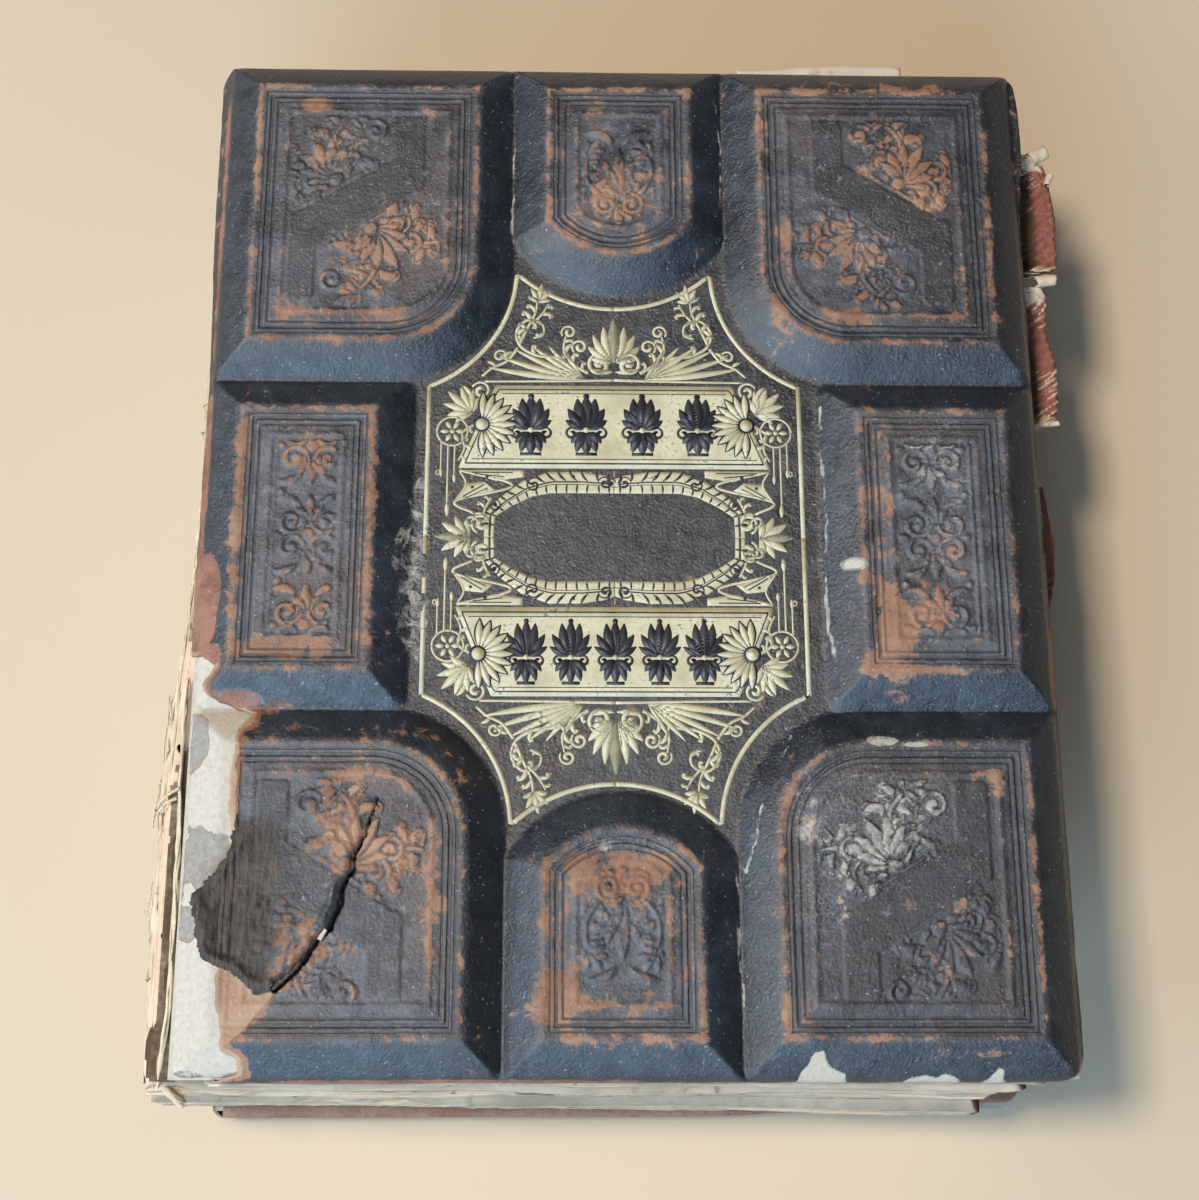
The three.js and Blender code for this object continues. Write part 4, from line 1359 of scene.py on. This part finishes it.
def make_stamp():
    outlines, petals = plaque_daisy()
    ink = all_round(engraved_lines()) + all_round(outlines)
    glints = all_round(petals)
    for x in (-25.6, -8.6, 8.6, 25.6):
        ink += motif(x, 36.0, 16.4, 18.6)
        glints.append(dot((x, 34.6), 0.9))
    for x in (-26.4, -13.2, 0.0, 13.2, 26.4):
        ink += motif(x, -36.0, 13.4, 18.6)
        glints.append(dot((x, -37.4), 0.8))
    ink.append(volute((-1.2, 17.4), 1.4, 0, 1.1, 0.7, 20))
    glints += all_round([line([(0, 21.2), (0, 19.4)], 0.6)])
    stamped("gold_stamp", plaques() + [ribbon(all_round(stamp_lines()), 0.055)], GOLD, 0.035)
    stamped("gold_stamp_lines", [ribbon(ink, 0.085)], INK, 0.03)
    stamped("gold_stamp_glints", [ribbon(glints, 0.11)], GOLD, 0.03)


make_stamp()

# ------------------------------------------------------------------ the page block

PAGE_W = 246.0
SPINE_ROUND = 12.6              # how far the rounded spine stands out
SPINE_MIDDLE, SPINE_HALF = 46.8, 37.0
OPENING_Z = 48.4                # where the front part of the pages lifts off the rear part
LAYERS = 22                     # rings of points up each bundle of gatherings


def spine_x(z, y):
    """The rounded spine; the block has slipped a little askew, so its head lies further in."""
    t = (np.asarray(z, float) - SPINE_MIDDLE) / SPINE_HALF
    askew = 6.0 * smooth(-95, 15, y) + 1.0 * smooth(20, 150, y)
    return -HALF_W - SPINE_ROUND * np.sqrt(np.maximum(1 - t * t, 0)) + askew


def page_outline():
    """A rectangle's outline from 0 to 1 each way, and which of its sides each point is on:
    0 for the tail, 1 for the fore-edge, 2 for the head and 3 for the spine."""
    corners = np.array([(0, 0), (1, 0), (1, 1), (0, 1), (0, 0)], float)
    sides = [np.linspace(a, b, n)[:-1] for a, b, n in zip(corners, corners[1:], (150, 150, 150, 110))]
    return np.vstack(sides), np.repeat(range(4), [len(side) for side in sides])


def page_section(node, body, seed, folds=3):
    """One bundle of gatherings: layered, ragged leaf edges and rounded folds."""
    (_, tail, z0), (_, head, z1) = (np.array(c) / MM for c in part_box(node))
    zs = np.linspace(z0, z1, LAYERS)
    path, which = page_outline()
    at_tail, at_fore, at_head, at_spine = (which == side for side in range(4))
    n = len(path)
    below_head = 1 - path[:, 1]
    near_fore = 0.5 * smooth(7, 0, PAGE_W * (1 - path[:, 0]))
    local = np.random.default_rng(seed)
    rows, stain, shade = [], [], []
    for k, z in enumerate(zs):
        def grain(size, tall, offset, octaves, gain=0.5):
            """Noise along the edges, with the height of the layer as its other direction."""
            return noise(along, np.full(n, z * tall), size, seed + offset, octaves, gain)

        y = tail + path[:, 1] * (head - tail)
        x = spine_x(z, y) + path[:, 0] * PAGE_W
        y = y + below_head * np.interp(z, [15, 48, 48.5, 80], [0.6, 1.2, 0.2, 3.0])
        askew = 0.8 * smooth(-10, -115, x) - 2.6 * smooth(-10, 115, x)
        y = y + below_head * askew * (1.0 if z < OPENING_Z else 0.4)
        jitter = local.normal(0, 0.30)
        along = np.where(at_tail | at_head, x, y)
        chip = smooth(0.25, 0.7, grain(22, 2.5, 50, 3))
        out = jitter + 0.45 * grain(5, 9, 0, 4, 0.65) - np.where(at_tail, 2.6, 1.4) * chip
        out += np.where(at_tail, 1.3, 0.5) * grain(70, 1.1, 60, 2)
        t = (z - z0) / (z1 - z0)
        fold = abs(math.sin(math.pi * folds * (0.06 + 0.88 * t))) ** 0.6
        ridge = 1.15 * fold - 1.0 + 0.5 * noise(y, np.full(n, z * 2), 40, seed + 12, 3) * fold
        y = y + np.where(at_tail, -out, 0) + np.where(at_head, out, 0)
        ridge = ridge + 0.12 * noise(y, np.full(n, z * 5), 9, seed + 9, 2)
        x = x + np.where(at_fore, out, 0) - np.where(at_spine, ridge, 0)
        uneven = 0.10 * noise(along, np.full(n, float(k)), 16, seed + 3, 2)
        rows.append(np.stack([x, y, z + uneven], 1))
        stain.append(np.where(at_fore, 0.85, near_fore))
        # painted shade: the splits between leaves, the chipped hollows, the layers set back and the valleys
        # between the folds at the spine are darkened
        split_shade = smooth(0.045, 0.0, np.abs(grain(34, 3.5, 80, 3)))
        split_shade = split_shade * smooth(-0.1, 0.35, grain(26, 2.0, 81, 2))
        dark = 0.16 * chip + 0.10 * smooth(0.1, 0.5, -jitter) + 0.75 * split_shade
        shade.append(dark + np.where(at_spine, 0.10 + 0.75 * (1 - fold), 0.0))
    rows[0][:, 2] = z0
    rows[-1][:, 2] = z1
    verts, faces, lids = rows, [tube_quads(LAYERS, n)], []
    inner = 0.03 + 0.94 * path
    i = np.arange(n)
    j = (i + 1) % n
    for k, base in ((0, LAYERS * n), (LAYERS - 1, (LAYERS + 1) * n)):
        y = tail + 3 + inner[:, 1] * (head - tail - 6)
        verts.append(np.stack([spine_x(zs[k], y) + inner[:, 0] * PAGE_W, y, np.full(n, zs[k])], 1))
        band = np.stack([k * n + i, k * n + j, base + j, base + i], 1)
        faces.append(band if k else band[:, ::-1])
        lids.append(list(range(base, base + n)))
    faces = np.vstack(faces).tolist() + [lids[1], lids[0][::-1]]
    flat = np.zeros(2 * n)
    ob = link(node + "_leaves", np.vstack(verts), faces, stain=np.concatenate(stain + [flat]),
              shade=np.concatenate(shade + [flat]))
    for lid in ob.data.polygons[-2:]:
        lid.use_smooth = False
    dress(ob, PAGES)
    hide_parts(node)
    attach(ob, body)


for i in range(1, 6):
    page_section(f"rear_section_{i}", "text_block", 200 + i)
for i in range(1, 5):
    page_section(f"front_section_{i}", "front_section", 300 + i)


def leaf_sheet(node, body, mat, seed):
    """A single leaf or thin bundle with softly waved surface and ragged edges."""
    lo, hi = (np.array(c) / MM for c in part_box(node))
    nx, ny = 70, 90
    x, y = np.meshgrid(np.linspace(lo[0], hi[0], nx), np.linspace(lo[1], hi[1], ny))
    rim = np.minimum(np.minimum(x - lo[0], hi[0] - x), np.minimum(y - lo[1], hi[1] - y))
    x = x + np.where(x > hi[0] - 1, 0.7 * noise(y, y * 0, 8, seed, 4) - 0.6, 0)
    y = np.maximum(y, lo[1] + 3.2 + 1.2 * noise(x, x * 0, 17, seed + 1, 5, 0.6))
    y = y - np.where(np.abs(y - hi[1]) < 0.1, 0.9 * np.abs(noise(x, x * 0, 9, seed + 2, 4)), 0)
    z = 0.06 * noise(x, y, 60, seed + 3, 2)
    up, down = (np.stack([x, y, level + z], 2).reshape(-1, 3) for level in (hi[2] - 0.05, lo[2] + 0.05))
    shade = np.tile(0.35 * smooth(9, 0, rim).ravel() + 0.06, 2)
    stain = np.tile(0.75 * smooth(5, 0, hi[0] - x).ravel(), 2)
    ob = fast_mesh(node + "_sheet", *closed_sheet(up, down, nx), shade=shade, stain=stain)
    dress(ob, mat)
    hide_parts(node)
    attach(ob, body)


leaf_sheet("front_flyleaf", "front_flyleaf", ENDPAPER, 401)
leaf_sheet("title_leaf", "title_leaf", LOOSE, 405)
leaf_sheet("rear_flyleaf", "rear_flyleaf", ENDPAPER, 409)

for name in ("front_pastedown", "back_pastedown"):
    dress(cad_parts[name], ENDPAPER)
for name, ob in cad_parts.items():
    if "_board" in name or "_panel_" in name:
        dress(ob, BOARD)


def folds(x, y, seed):
    """Crests from 0 to 1 of the slanting folds that meet along the middle of the leaves."""
    middle = 129.5 + 2.5 * noise(y, y * 0, 26, seed + 1, 2)
    along = y - 0.85 * np.abs(x - middle) + 1.5 * noise(x, y, 9, seed + 2, 3, 0.6)
    wave = np.sin(2 * np.pi * along / 3.4 + 2.2 * noise(x, y, 7, seed + 3, 3))
    return np.clip(0.5 + 0.5 * wave * (0.55 + 0.7 * noise(x, y, 11, seed + 4, 2)), 0, 1)


def torn_leaf(local, k, seed, y0, y1, mid, reach):
    """One of the fanned leaves: its points, and how stained and how shaded they are."""
    nx, ny = 42, 150
    x0 = 60.0
    pull = local.uniform(-3.5, 0.0) if k not in (3, 6) else 0.0
    s, t = np.meshgrid(np.linspace(0, 1, nx) ** 0.6, np.linspace(0, 1, ny))
    a0 = y0 + 0.6 + local.uniform(0.0, 3.0)
    a1 = y1 - 0.6 - local.uniform(0.0, 3.0)
    y = a0 + (a1 - a0) * t
    down, ends = y[:, -1], t[:, -1]
    edge = np.interp(FRONT_Y + HALF_H - down, *np.transpose(reach)) + pull
    edge = edge + 0.7 * noise(down, down * 0 + k * 7, 9, seed + k, 4, 0.65)
    whole = smooth(0.0, 0.07, ends) * smooth(1.0, 0.93, ends)
    edge = (edge - (1 - whole) * 7 * local.uniform(0.2, 1.0))[:, None]
    x = x0 + (edge - x0) * s
    out = smooth(112, 130, x)
    crest = folds(x, y, seed + 30 + k // 3)
    from_end = np.minimum(t * (a1 - a0), (1 - t) * (a1 - a0))
    curl = np.exp(-(from_end / 2.6) ** 2) * smooth(118, 130, x)
    rise = (k - SHEETS / 2) * 0.40 + 1.2 * noise(y, x, 17, seed + 20 + k // 2, 3, 0.6) + 0.9 * crest
    z = mid + (k - SHEETS / 2) * 0.11 + out * rise + curl * (1.2 + 0.35 * k)
    y = y + out * 0.6 * noise(x, y, 12, seed + 40 + k, 2)
    # painted highlight and shade of the folds: the crests are less red with cream streaks, the valleys and
    # the parts lying under the next leaves are darkened; the curled ends stay cream paper
    streak = smooth(0.55, 0.8, crest) * smooth(-0.1, 0.5, noise(y, x * 0.4, 13, seed + 71, 3))
    cream_and_crest_highlight = np.clip(np.maximum(curl * 1.3, 0.75 * streak), 0, 1)
    stain = smooth(26, 8, edge - x) * (1.05 - 0.52 * crest ** 1.5) * (1 - cream_and_crest_highlight)
    shade = 0.62 * (1 - crest) ** 2 * out + 0.8 * smooth(-5.0, -8.0, x - edge) * out
    return (np.stack([x, y, z], 2).reshape(-1, 3), grid_quads(nx, ny)), stain.ravel(), shade.ravel()


def loose_leaves(node, seed, reach, v0, v1):
    """Several thin leaves, fanned and crumpled where they stand out at the fore-edge."""
    lo, hi = (np.array(c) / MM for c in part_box(node))
    y0, y1 = FRONT_Y + v0, min(FRONT_Y + v1, hi[1])
    mid = (lo[2] + hi[2]) / 2
    local = np.random.default_rng(seed)
    made = [torn_leaf(local, k, seed, y0, y1, mid, reach) for k in range(SHEETS)]
    for y, x, radius, length, turn in CURLS.get(node, []):
        roll = curled_scrap(x, FRONT_Y + HALF_H - y, mid + 4.0, radius, length, turn, seed)
        n = len(roll[0])
        made.append((roll, np.full(n, 0.12), np.zeros(n)))
    parts, stains, shades = zip(*made)
    ob = fast_mesh(node + "_fanned", *merge(parts), stain=np.concatenate(stains),
                   shade=np.concatenate(shades))
    thicken(ob, 0.1)
    dress(ob, LOOSE)
    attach(ob, node)
    inner_end = 112
    nx, ny = 40, 80
    x, y = np.meshgrid(np.linspace(lo[0], inner_end, nx), np.linspace(lo[1], hi[1], ny))
    up = np.stack([x, y, np.full(x.shape, hi[2] - 0.05)], 2).reshape(-1, 3)
    stain = np.tile(0.8 * smooth(8, 0, inner_end - x).ravel(), 2)
    base = fast_mesh(node + "_inner", *closed_sheet(up, up - [0, 0, 0.75], nx),
                     stain=stain, shade=np.full(len(stain), 0.05))
    dress(base, LOOSE)
    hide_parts(node)
    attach(base, node)


def curled_scrap(x, y, z, radius, length, turn, seed):
    """A scrap of paper rolled up on itself, its axis turned by `turn` from X."""
    n, m = 22, 12
    a, b = np.meshgrid(np.linspace(-0.6, 4.6, n), np.linspace(-0.5, 0.5, m))
    r = radius * (1 - 0.11 * a) * (1 + 0.12 * noise(a * 3, b * 9, 2, seed + 90, 2))
    along = b * length * (1 + 0.15 * noise(a * 4, b * 0, 3, seed + 91, 2))
    across = r * np.cos(a)
    px = x + along * math.cos(turn) - across * math.sin(turn)
    py = y + along * math.sin(turn) + across * math.cos(turn)
    return np.stack([px, py, z + r * np.sin(a)], 2).reshape(-1, 3), grid_quads(n, m)


SHEETS = 7   # leaves in each loose bundle
# Curled ends of the loose leaves: distance from the cover's head edge, x, radius, length, turn.
CURLS = {
    "loose_leaves_head": [(22.5, 138.8, 2.9, 6.0, 0.5), (31, 141.9, 1.3, 4.0, 1.2),
                          (68.2, 138.0, 2.3, 6.4, 0.15)],
    "loose_leaves_middle": [(117.5, 136.4, 1.0, 5.0, 0.1)],
}
# How far the torn edge reaches, as (distance from the cover's head edge, x).
HEAD_TAB = [(16, 137), (24, 140.5), (30, 142.6), (45, 143.4), (58, 143.0), (66, 142.2), (71, 137)]
MIDDLE_TAB = [(69, 137.0), (72, 138.4), (78, 138.6), (84, 137.6), (92, 139.2), (101, 140.4), (110, 139.8),
              (117, 138), (121, 134)]
TAIL_TAB = [(130, 130.5), (137, 132.8), (146, 134.0), (155, 135.3), (165, 135.0), (176, 132.6), (186, 129.5)]

loose_leaves("loose_leaves_head", 500, HEAD_TAB, 93, 144)
loose_leaves("loose_leaves_middle", 520, MIDDLE_TAB, 40, 91)
loose_leaves("loose_leaves_tail", 540, TAIL_TAB, -24, 28)


def paper_slip():
    """The slip of white paper that stands out at the head."""
    lo, hi = (np.array(c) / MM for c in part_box("loose_slip"))
    nx, ny = 40, 50
    s, t = np.meshgrid(np.linspace(0, 1, nx), np.linspace(0, 1, ny))
    x = lo[0] + (hi[0] - lo[0]) * s
    head = hi[1] - 1.9 - 2.2 * (1 - s) - 1.0 * smooth(0.93, 1.0, s) + 0.35 * noise(x, x * 0, 6, 601, 3)
    y = lo[1] + (head - lo[1]) * t
    out = smooth(HALF_H - 12, HALF_H + 12, y)
    z = (lo[2] + hi[2]) / 2 + out * (0.7 * np.sin(x * 0.11) + 0.4 * noise(x, y, 9, 603, 2))
    clean = np.zeros(nx * ny)
    points = np.stack([x, y, z], 2).reshape(-1, 3)
    ob = fast_mesh("paper_slip", points, grid_quads(nx, ny), stain=clean, shade=clean)
    thicken(ob, 0.25)
    dress(ob, SLIP)
    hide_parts("loose_slip")
    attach(ob, "loose_slip")


paper_slip()


def spine_lining(node, body, seed, shoulder):
    """Crumpled, part-torn paper that was glued over the folds; `shoulder` is how far it
    turns in over the top of the block."""
    lo, hi = (np.array(c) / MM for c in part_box(node))
    y, s = np.meshgrid(np.arange(lo[1], hi[1], 1.0), np.arange(lo[2] + 0.1, hi[2] + shoulder, 0.8))
    sides = np.minimum(y - lo[1], hi[1] - y)
    edge = np.minimum(sides, np.minimum(s - lo[2] + 1.5, hi[2] + shoulder - s))
    holes = 7.0 * (noise(y * 0.5, s * 1.5, 22, seed, 4, 0.6) + 0.26)
    used, quads = kept_quads(np.minimum(edge + 1.5 * noise(y, s, 7, seed + 1, 3), holes) > 0)
    y, s = y.ravel()[used], s.ravel()[used]
    y = y + 0.4 * noise(y, s, 2, seed + 7, 2)
    creases = np.abs(noise(y * 0.16 + 3 * noise(y, s, 30, seed + 8, 2), s * 1.9, 6, seed + 2, 3, 0.55))
    flare = smooth(20, -150, y) * smooth(hi[2] - 10, hi[2] - 1, s) * (1 if shoulder else 0.2)
    away = 0.25 + 1.1 * creases + 0.5 * flare * (0.6 + 0.4 * noise(y, s * 0, 16, seed + 4, 2))
    # the tongue of leather lies here when the cover is folded right back
    clear = smooth(68, 71, s) * smooth(-76, -84, y) * smooth(-150, -144, y)
    away = away * (1 - clear)
    z = np.minimum(s, hi[2])
    over = np.maximum(s - hi[2], 0)
    x = spine_x(z, y) - away * np.exp(-over / 3) + over + 0.5 * clear
    z = z + np.minimum(over * 0.8, 0.35 - 0.2 * clear) + 0.8 * away * (1 - np.exp(-over / 1.5))
    # painted shade in the valleys of the creases and over the gap between the rolls at the shoulder, on a
    # random tone
    shade = 0.95 * smooth(0.20, 0.03, creases) + 0.30 * noise(y * 0.4, s, 9, seed + 5, 3)
    shade = shade + 0.85 * smooth(72.4, 74.0, s) * smooth(0, -50, y)
    ob = fast_mesh(node + "_paper", np.stack([x, y, z], 1), flipped(quads), stain=np.zeros(len(y)),
                   shade=shade)
    thicken(ob, 0.28)
    dress(ob, LINING)
    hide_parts(node)
    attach(ob, body)


spine_lining("front_spine_lining", "front_section", 700, 7.5)
spine_lining("rear_spine_lining", "text_block", 730, 0)


def thread(points, radius):
    """A short loose thread as a thin tube."""
    points = np.asarray(points)
    path = np.hstack([curve(points[:, :2], 26), curve(points[:, 1:], 26)[:, 1:]])
    return tube_rings(path, radius, 6, [0.1, 0.2, 1.0]), flipped(tube_quads(len(path), 6))


def threads(name, body, z_lo, z_hi, seed, count):
    """Frayed ends of sewing thread that lie along the spine near the cords."""
    local = np.random.default_rng(seed)
    parts = []
    for _ in range(count):
        y = local.choice([-121, -66, -11, 44, 99]) + local.normal(0, 3.5)
        if local.random() < 0.35:
            y = local.uniform(-155, -20)
        z = local.uniform(z_lo + 2, z_hi - 1)
        points = []
        heading = local.choice([0, np.pi]) + local.normal(0, 0.7)
        length = local.uniform(7, 19)
        for k in range(5):
            away = 1.2 + 1.3 * math.sin(k / 4 * math.pi) * local.uniform(0.2, 1.0)
            points.append([float(spine_x(z, y)) - away, y, z])
            y += math.cos(heading) * length / 5
            z = float(np.clip(z + math.sin(heading) * length / 6, z_lo + 0.6, z_hi - 0.6))
            heading += local.normal(0, 0.5)
        parts.append(thread(points, local.uniform(0.16, 0.32)))
    ob = fast_mesh(name, *merge(parts))
    dress(ob, CORD)
    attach(ob, body)


threads("loose_threads_front", "front_section", 49.0, 78.2, 801, 34)
threads("loose_threads_rear", "text_block", 15.6, 48.2, 802, 30)


def paper_roll(path, radius, seed):
    """Paper crumpled into a rope along a path of (x, y, z), and how shaded its points are."""
    path = np.asarray(path, float)
    s = np.concatenate([[0], np.cumsum(np.linalg.norm(np.diff(path, axis=0), axis=1))])
    n, sides = max(8, int(s[-1] / 0.8)), 12
    t = np.linspace(0, s[-1], n)
    mid = np.stack([np.interp(t, s, path[:, q]) for q in range(3)], 1)
    for q, size in ((0, 14), (2, 11)):
        mid[:, q] += 0.55 * noise(t, t * 0, size, seed + q, 3, 0.6)
    along, turn = np.meshgrid(t, np.arange(sides) / sides * 2 * np.pi, indexing="ij")
    pleat = noise(along * 0.22 + 5 * np.cos(turn), 5 * np.sin(turn), 2.2, seed + 5, 3, 0.6)
    r = radius * (0.85 + 0.40 * noise(along, turn * 0, 12, seed + 6, 2) + 0.75 * pleat)
    r *= np.sqrt(np.clip(np.minimum(along, s[-1] - along) / (2 * radius), 0.02, 1))
    # painted shade in the hollows of the pleats
    shade = 0.75 * smooth(0.0, -0.5, pleat)
    return tube_rings(mid, r, sides, [0.05, 0.1, 1.0]), tube_quads(n, sides), shade.ravel()


def beside(points):
    """Places by the spine joint, given from the cover's spine edge and head edge, and by
    their height."""
    return [(x - HALF_W, FRONT_Y + HALF_H - y, z) for x, y, z in points]


# The paper hinge, torn and rolled up along the joint: path and radius of each roll.
PAPER_ROLLS = [
    ([(-3.6, 130, 73), (-4.8, 172, 73), (-6.0, 188, 73), (-7.6, 208, 73), (-9.0, 236, 72)], 0.7),
    ([(-8.6, 214, 72), (-9.8, 243, 72), (-9.5, 262, 72), (-9.7, 296, 71), (-9.3, 319, 70)], 1.05),
    ([(-2.6, 203, 81), (-3.3, 222, 80.6), (-2.6, 243, 80.8), (-2.3, 266, 80.9), (-2.5, 298, 80.8),
      (-4.4, 321, 79)], 0.8),
    ([(-6.5, 206, 76), (-7.0, 224, 76), (-6.6, 236, 76)], 0.6),
    ([(-8.4, 247, 73), (-8.0, 262, 73.4), (-8.9, 284, 72.5)], 0.6),
    ([(-9.5, 303, 71), (-7.8, 312, 75), (-6.9, 321, 72)], 1.1),
    ([(-8.6, 316, 62), (-5.0, 322, 60), (-1.0, 325.5, 58)], 1.5),
    ([(-9.4, 310, 56), (-7.4, 319, 52), (-3.0, 326, 48)], 1.3),
    ([(-6.0, 318, 73), (-2.6, 322, 70), (1.5, 324.5, 66)], 1.0)]
# The threads knotted over it, in the same way.
KNOT = [
    ([(-12.6, 243, 70), (-9.5, 239.5, 76), (-6, 238, 81), (-3.0, 236.5, 82.3)], 0.42),
    ([(-12.4, 240, 69), (-10.5, 242.5, 75), (-7, 240.5, 80), (-3.6, 239.5, 82)], 0.38),
    ([(-12.8, 246, 70), (-11.6, 241, 74), (-10.8, 237, 73), (-11.6, 233, 70)], 0.34),
    ([(-11.8, 262, 70), (-12.6, 268, 69), (-13.6, 272, 67), (-14.4, 270, 66)], 0.26),
    ([(-11.4, 205, 66), (-10.8, 212, 68), (-11.2, 222, 69), (-10.6, 232, 70)], 0.30),
    ([(-2.0, 250, 81.6), (-2.6, 262, 81.8), (-1.8, 275, 81.7), (-2.4, 286, 81.6)], 0.28)]


def torn_paper_strips():
    made = [paper_roll(beside(path), radius, 900 + 11 * i) for i, (path, radius) in enumerate(PAPER_ROLLS)]
    verts, quads = merge([part[:2] for part in made])
    shade = np.concatenate([part[2] for part in made])
    ob = fast_mesh("torn_spine_paper", verts, quads, shade=shade, stain=np.zeros(len(verts)))
    dress(ob, ROLLS)
    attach(ob, "front_section")


def knotted_threads():
    ob = fast_mesh("knotted_threads", *merge([thread(beside(path), radius) for path, radius in KNOT]))
    dress(ob, CORD)
    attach(ob, "front_section")


def scrap_in_crack():
    """A scrap of white paper caught in the crack."""
    x, y = at(42.2, 280.2)
    verts, quads = curled_scrap(x, y + FRONT_Y, FRONT_Z + BASE_W + RELIEF + 0.6, 0.9, 3.4, 1.1, 950)
    clean = np.zeros(len(verts))
    scrap = fast_mesh("scrap_in_crack", verts, quads, stain=clean, shade=clean)
    dress(scrap, SLIP)
    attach(scrap, "front_cover")


torn_paper_strips()
knotted_threads()
scrap_in_crack()


def sewing_cord(node, body):
    """A twisted cord sunk in the folds of the spine."""
    lo, hi = (np.array(c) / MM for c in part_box(node))
    y = (lo[1] + hi[1]) / 2
    rings, sides = 60, 12
    turns = np.linspace(0, 2 * np.pi, sides + 1)[:-1]
    rows = []
    for z in np.linspace(lo[2], hi[2], rings):
        strands = 1.15 + 0.22 * np.cos(3 * (turns + z * 0.9))
        x = spine_x(z, y) + 1.35 + strands * np.cos(turns)
        rows.append(np.stack([x, y + 1.25 * strands * np.sin(turns), np.full(sides, z)], 1))
    ends = [list(range(sides))[::-1], list(range((rings - 1) * sides, rings * sides))]
    ob = link(node + "_twist", np.vstack(rows), tube_quads(rings, sides).tolist() + ends)
    dress(ob, CORD)
    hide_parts(node)
    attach(ob, body)


for i in range(1, 6):
    sewing_cord(f"rear_cord_{i}", "text_block")
    sewing_cord(f"front_cord_{i}", "front_section")

# ------------------------------------------------------------------ floor, light, camera

FLOOR_HALF = 6.0
LENS = 53.16   # millimetres, on a sensor 36 mm wide


def make_floor():
    """A plain pale table, just under the book."""
    corners = [(-1, -1, 0), (1, -1, 0), (1, 1, 0), (-1, 1, 0)]
    mesh = bpy.data.meshes.new("floor")
    mesh.from_pydata([tuple(c * FLOOR_HALF for c in corner) for corner in corners], [], [(0, 1, 2, 3)])
    mat, _, bsdf = material("floor")
    bsdf.inputs["Base Color"].default_value = (0.66, 0.545, 0.40, 1)
    bsdf.inputs["Roughness"].default_value = 0.8
    mesh.materials.append(mat)
    floor = in_scene("floor", mesh)
    floor.location.z = -0.0003


def area_light(name, place, size, watts, colour):
    """A rectangular light that faces the book."""
    data = bpy.data.lights.new(name, "AREA")
    data.shape = "RECTANGLE"
    data.size, data.size_y = size
    data.energy = watts
    data.color = colour
    ob = in_scene(name, data)
    ob.location = place
    towards_book = Vector((0, 0, 0.05)) - Vector(place)
    ob.rotation_euler = towards_book.to_track_quat("-Z", "Y").to_euler()


def make_lights():
    """Cool daylight from the tail and the spine side, a warm lamp above, a dim warm room."""
    area_light("tail_window", (-0.52, -1.60, 1.24), (1.3, 0.6), 33, (0.50, 0.75, 1.0))
    area_light("side_window", (-1.75, -0.55, 0.95), (1.2, 0.8), 17, (0.54, 0.77, 1.0))
    area_light("lamp", (-1.25, 0.10, 2.85), (0.5, 0.5), 74, (1.0, 0.87, 0.72))
    world = bpy.data.worlds.new("studio")
    world.use_nodes = True
    background = world.node_tree.nodes["Background"]
    background.inputs["Color"].default_value = (1.0, 0.86, 0.72, 1)
    background.inputs["Strength"].default_value = 0.055
    bpy.context.scene.world = world
    bpy.context.scene.view_settings.view_transform = "Standard"


def make_camera():
    data = bpy.data.cameras.new("camera")
    data.sensor_width = 36
    data.lens = LENS
    data.clip_start, data.clip_end = 0.02, 20
    camera = in_scene("camera", data)
    camera.location = (-0.0199, -0.1734, 0.5951)
    camera.rotation_euler = [math.radians(a) for a in (16.568, -1.345, -0.13)]
    bpy.context.scene.camera = camera


make_floor()
make_lights()
make_camera()
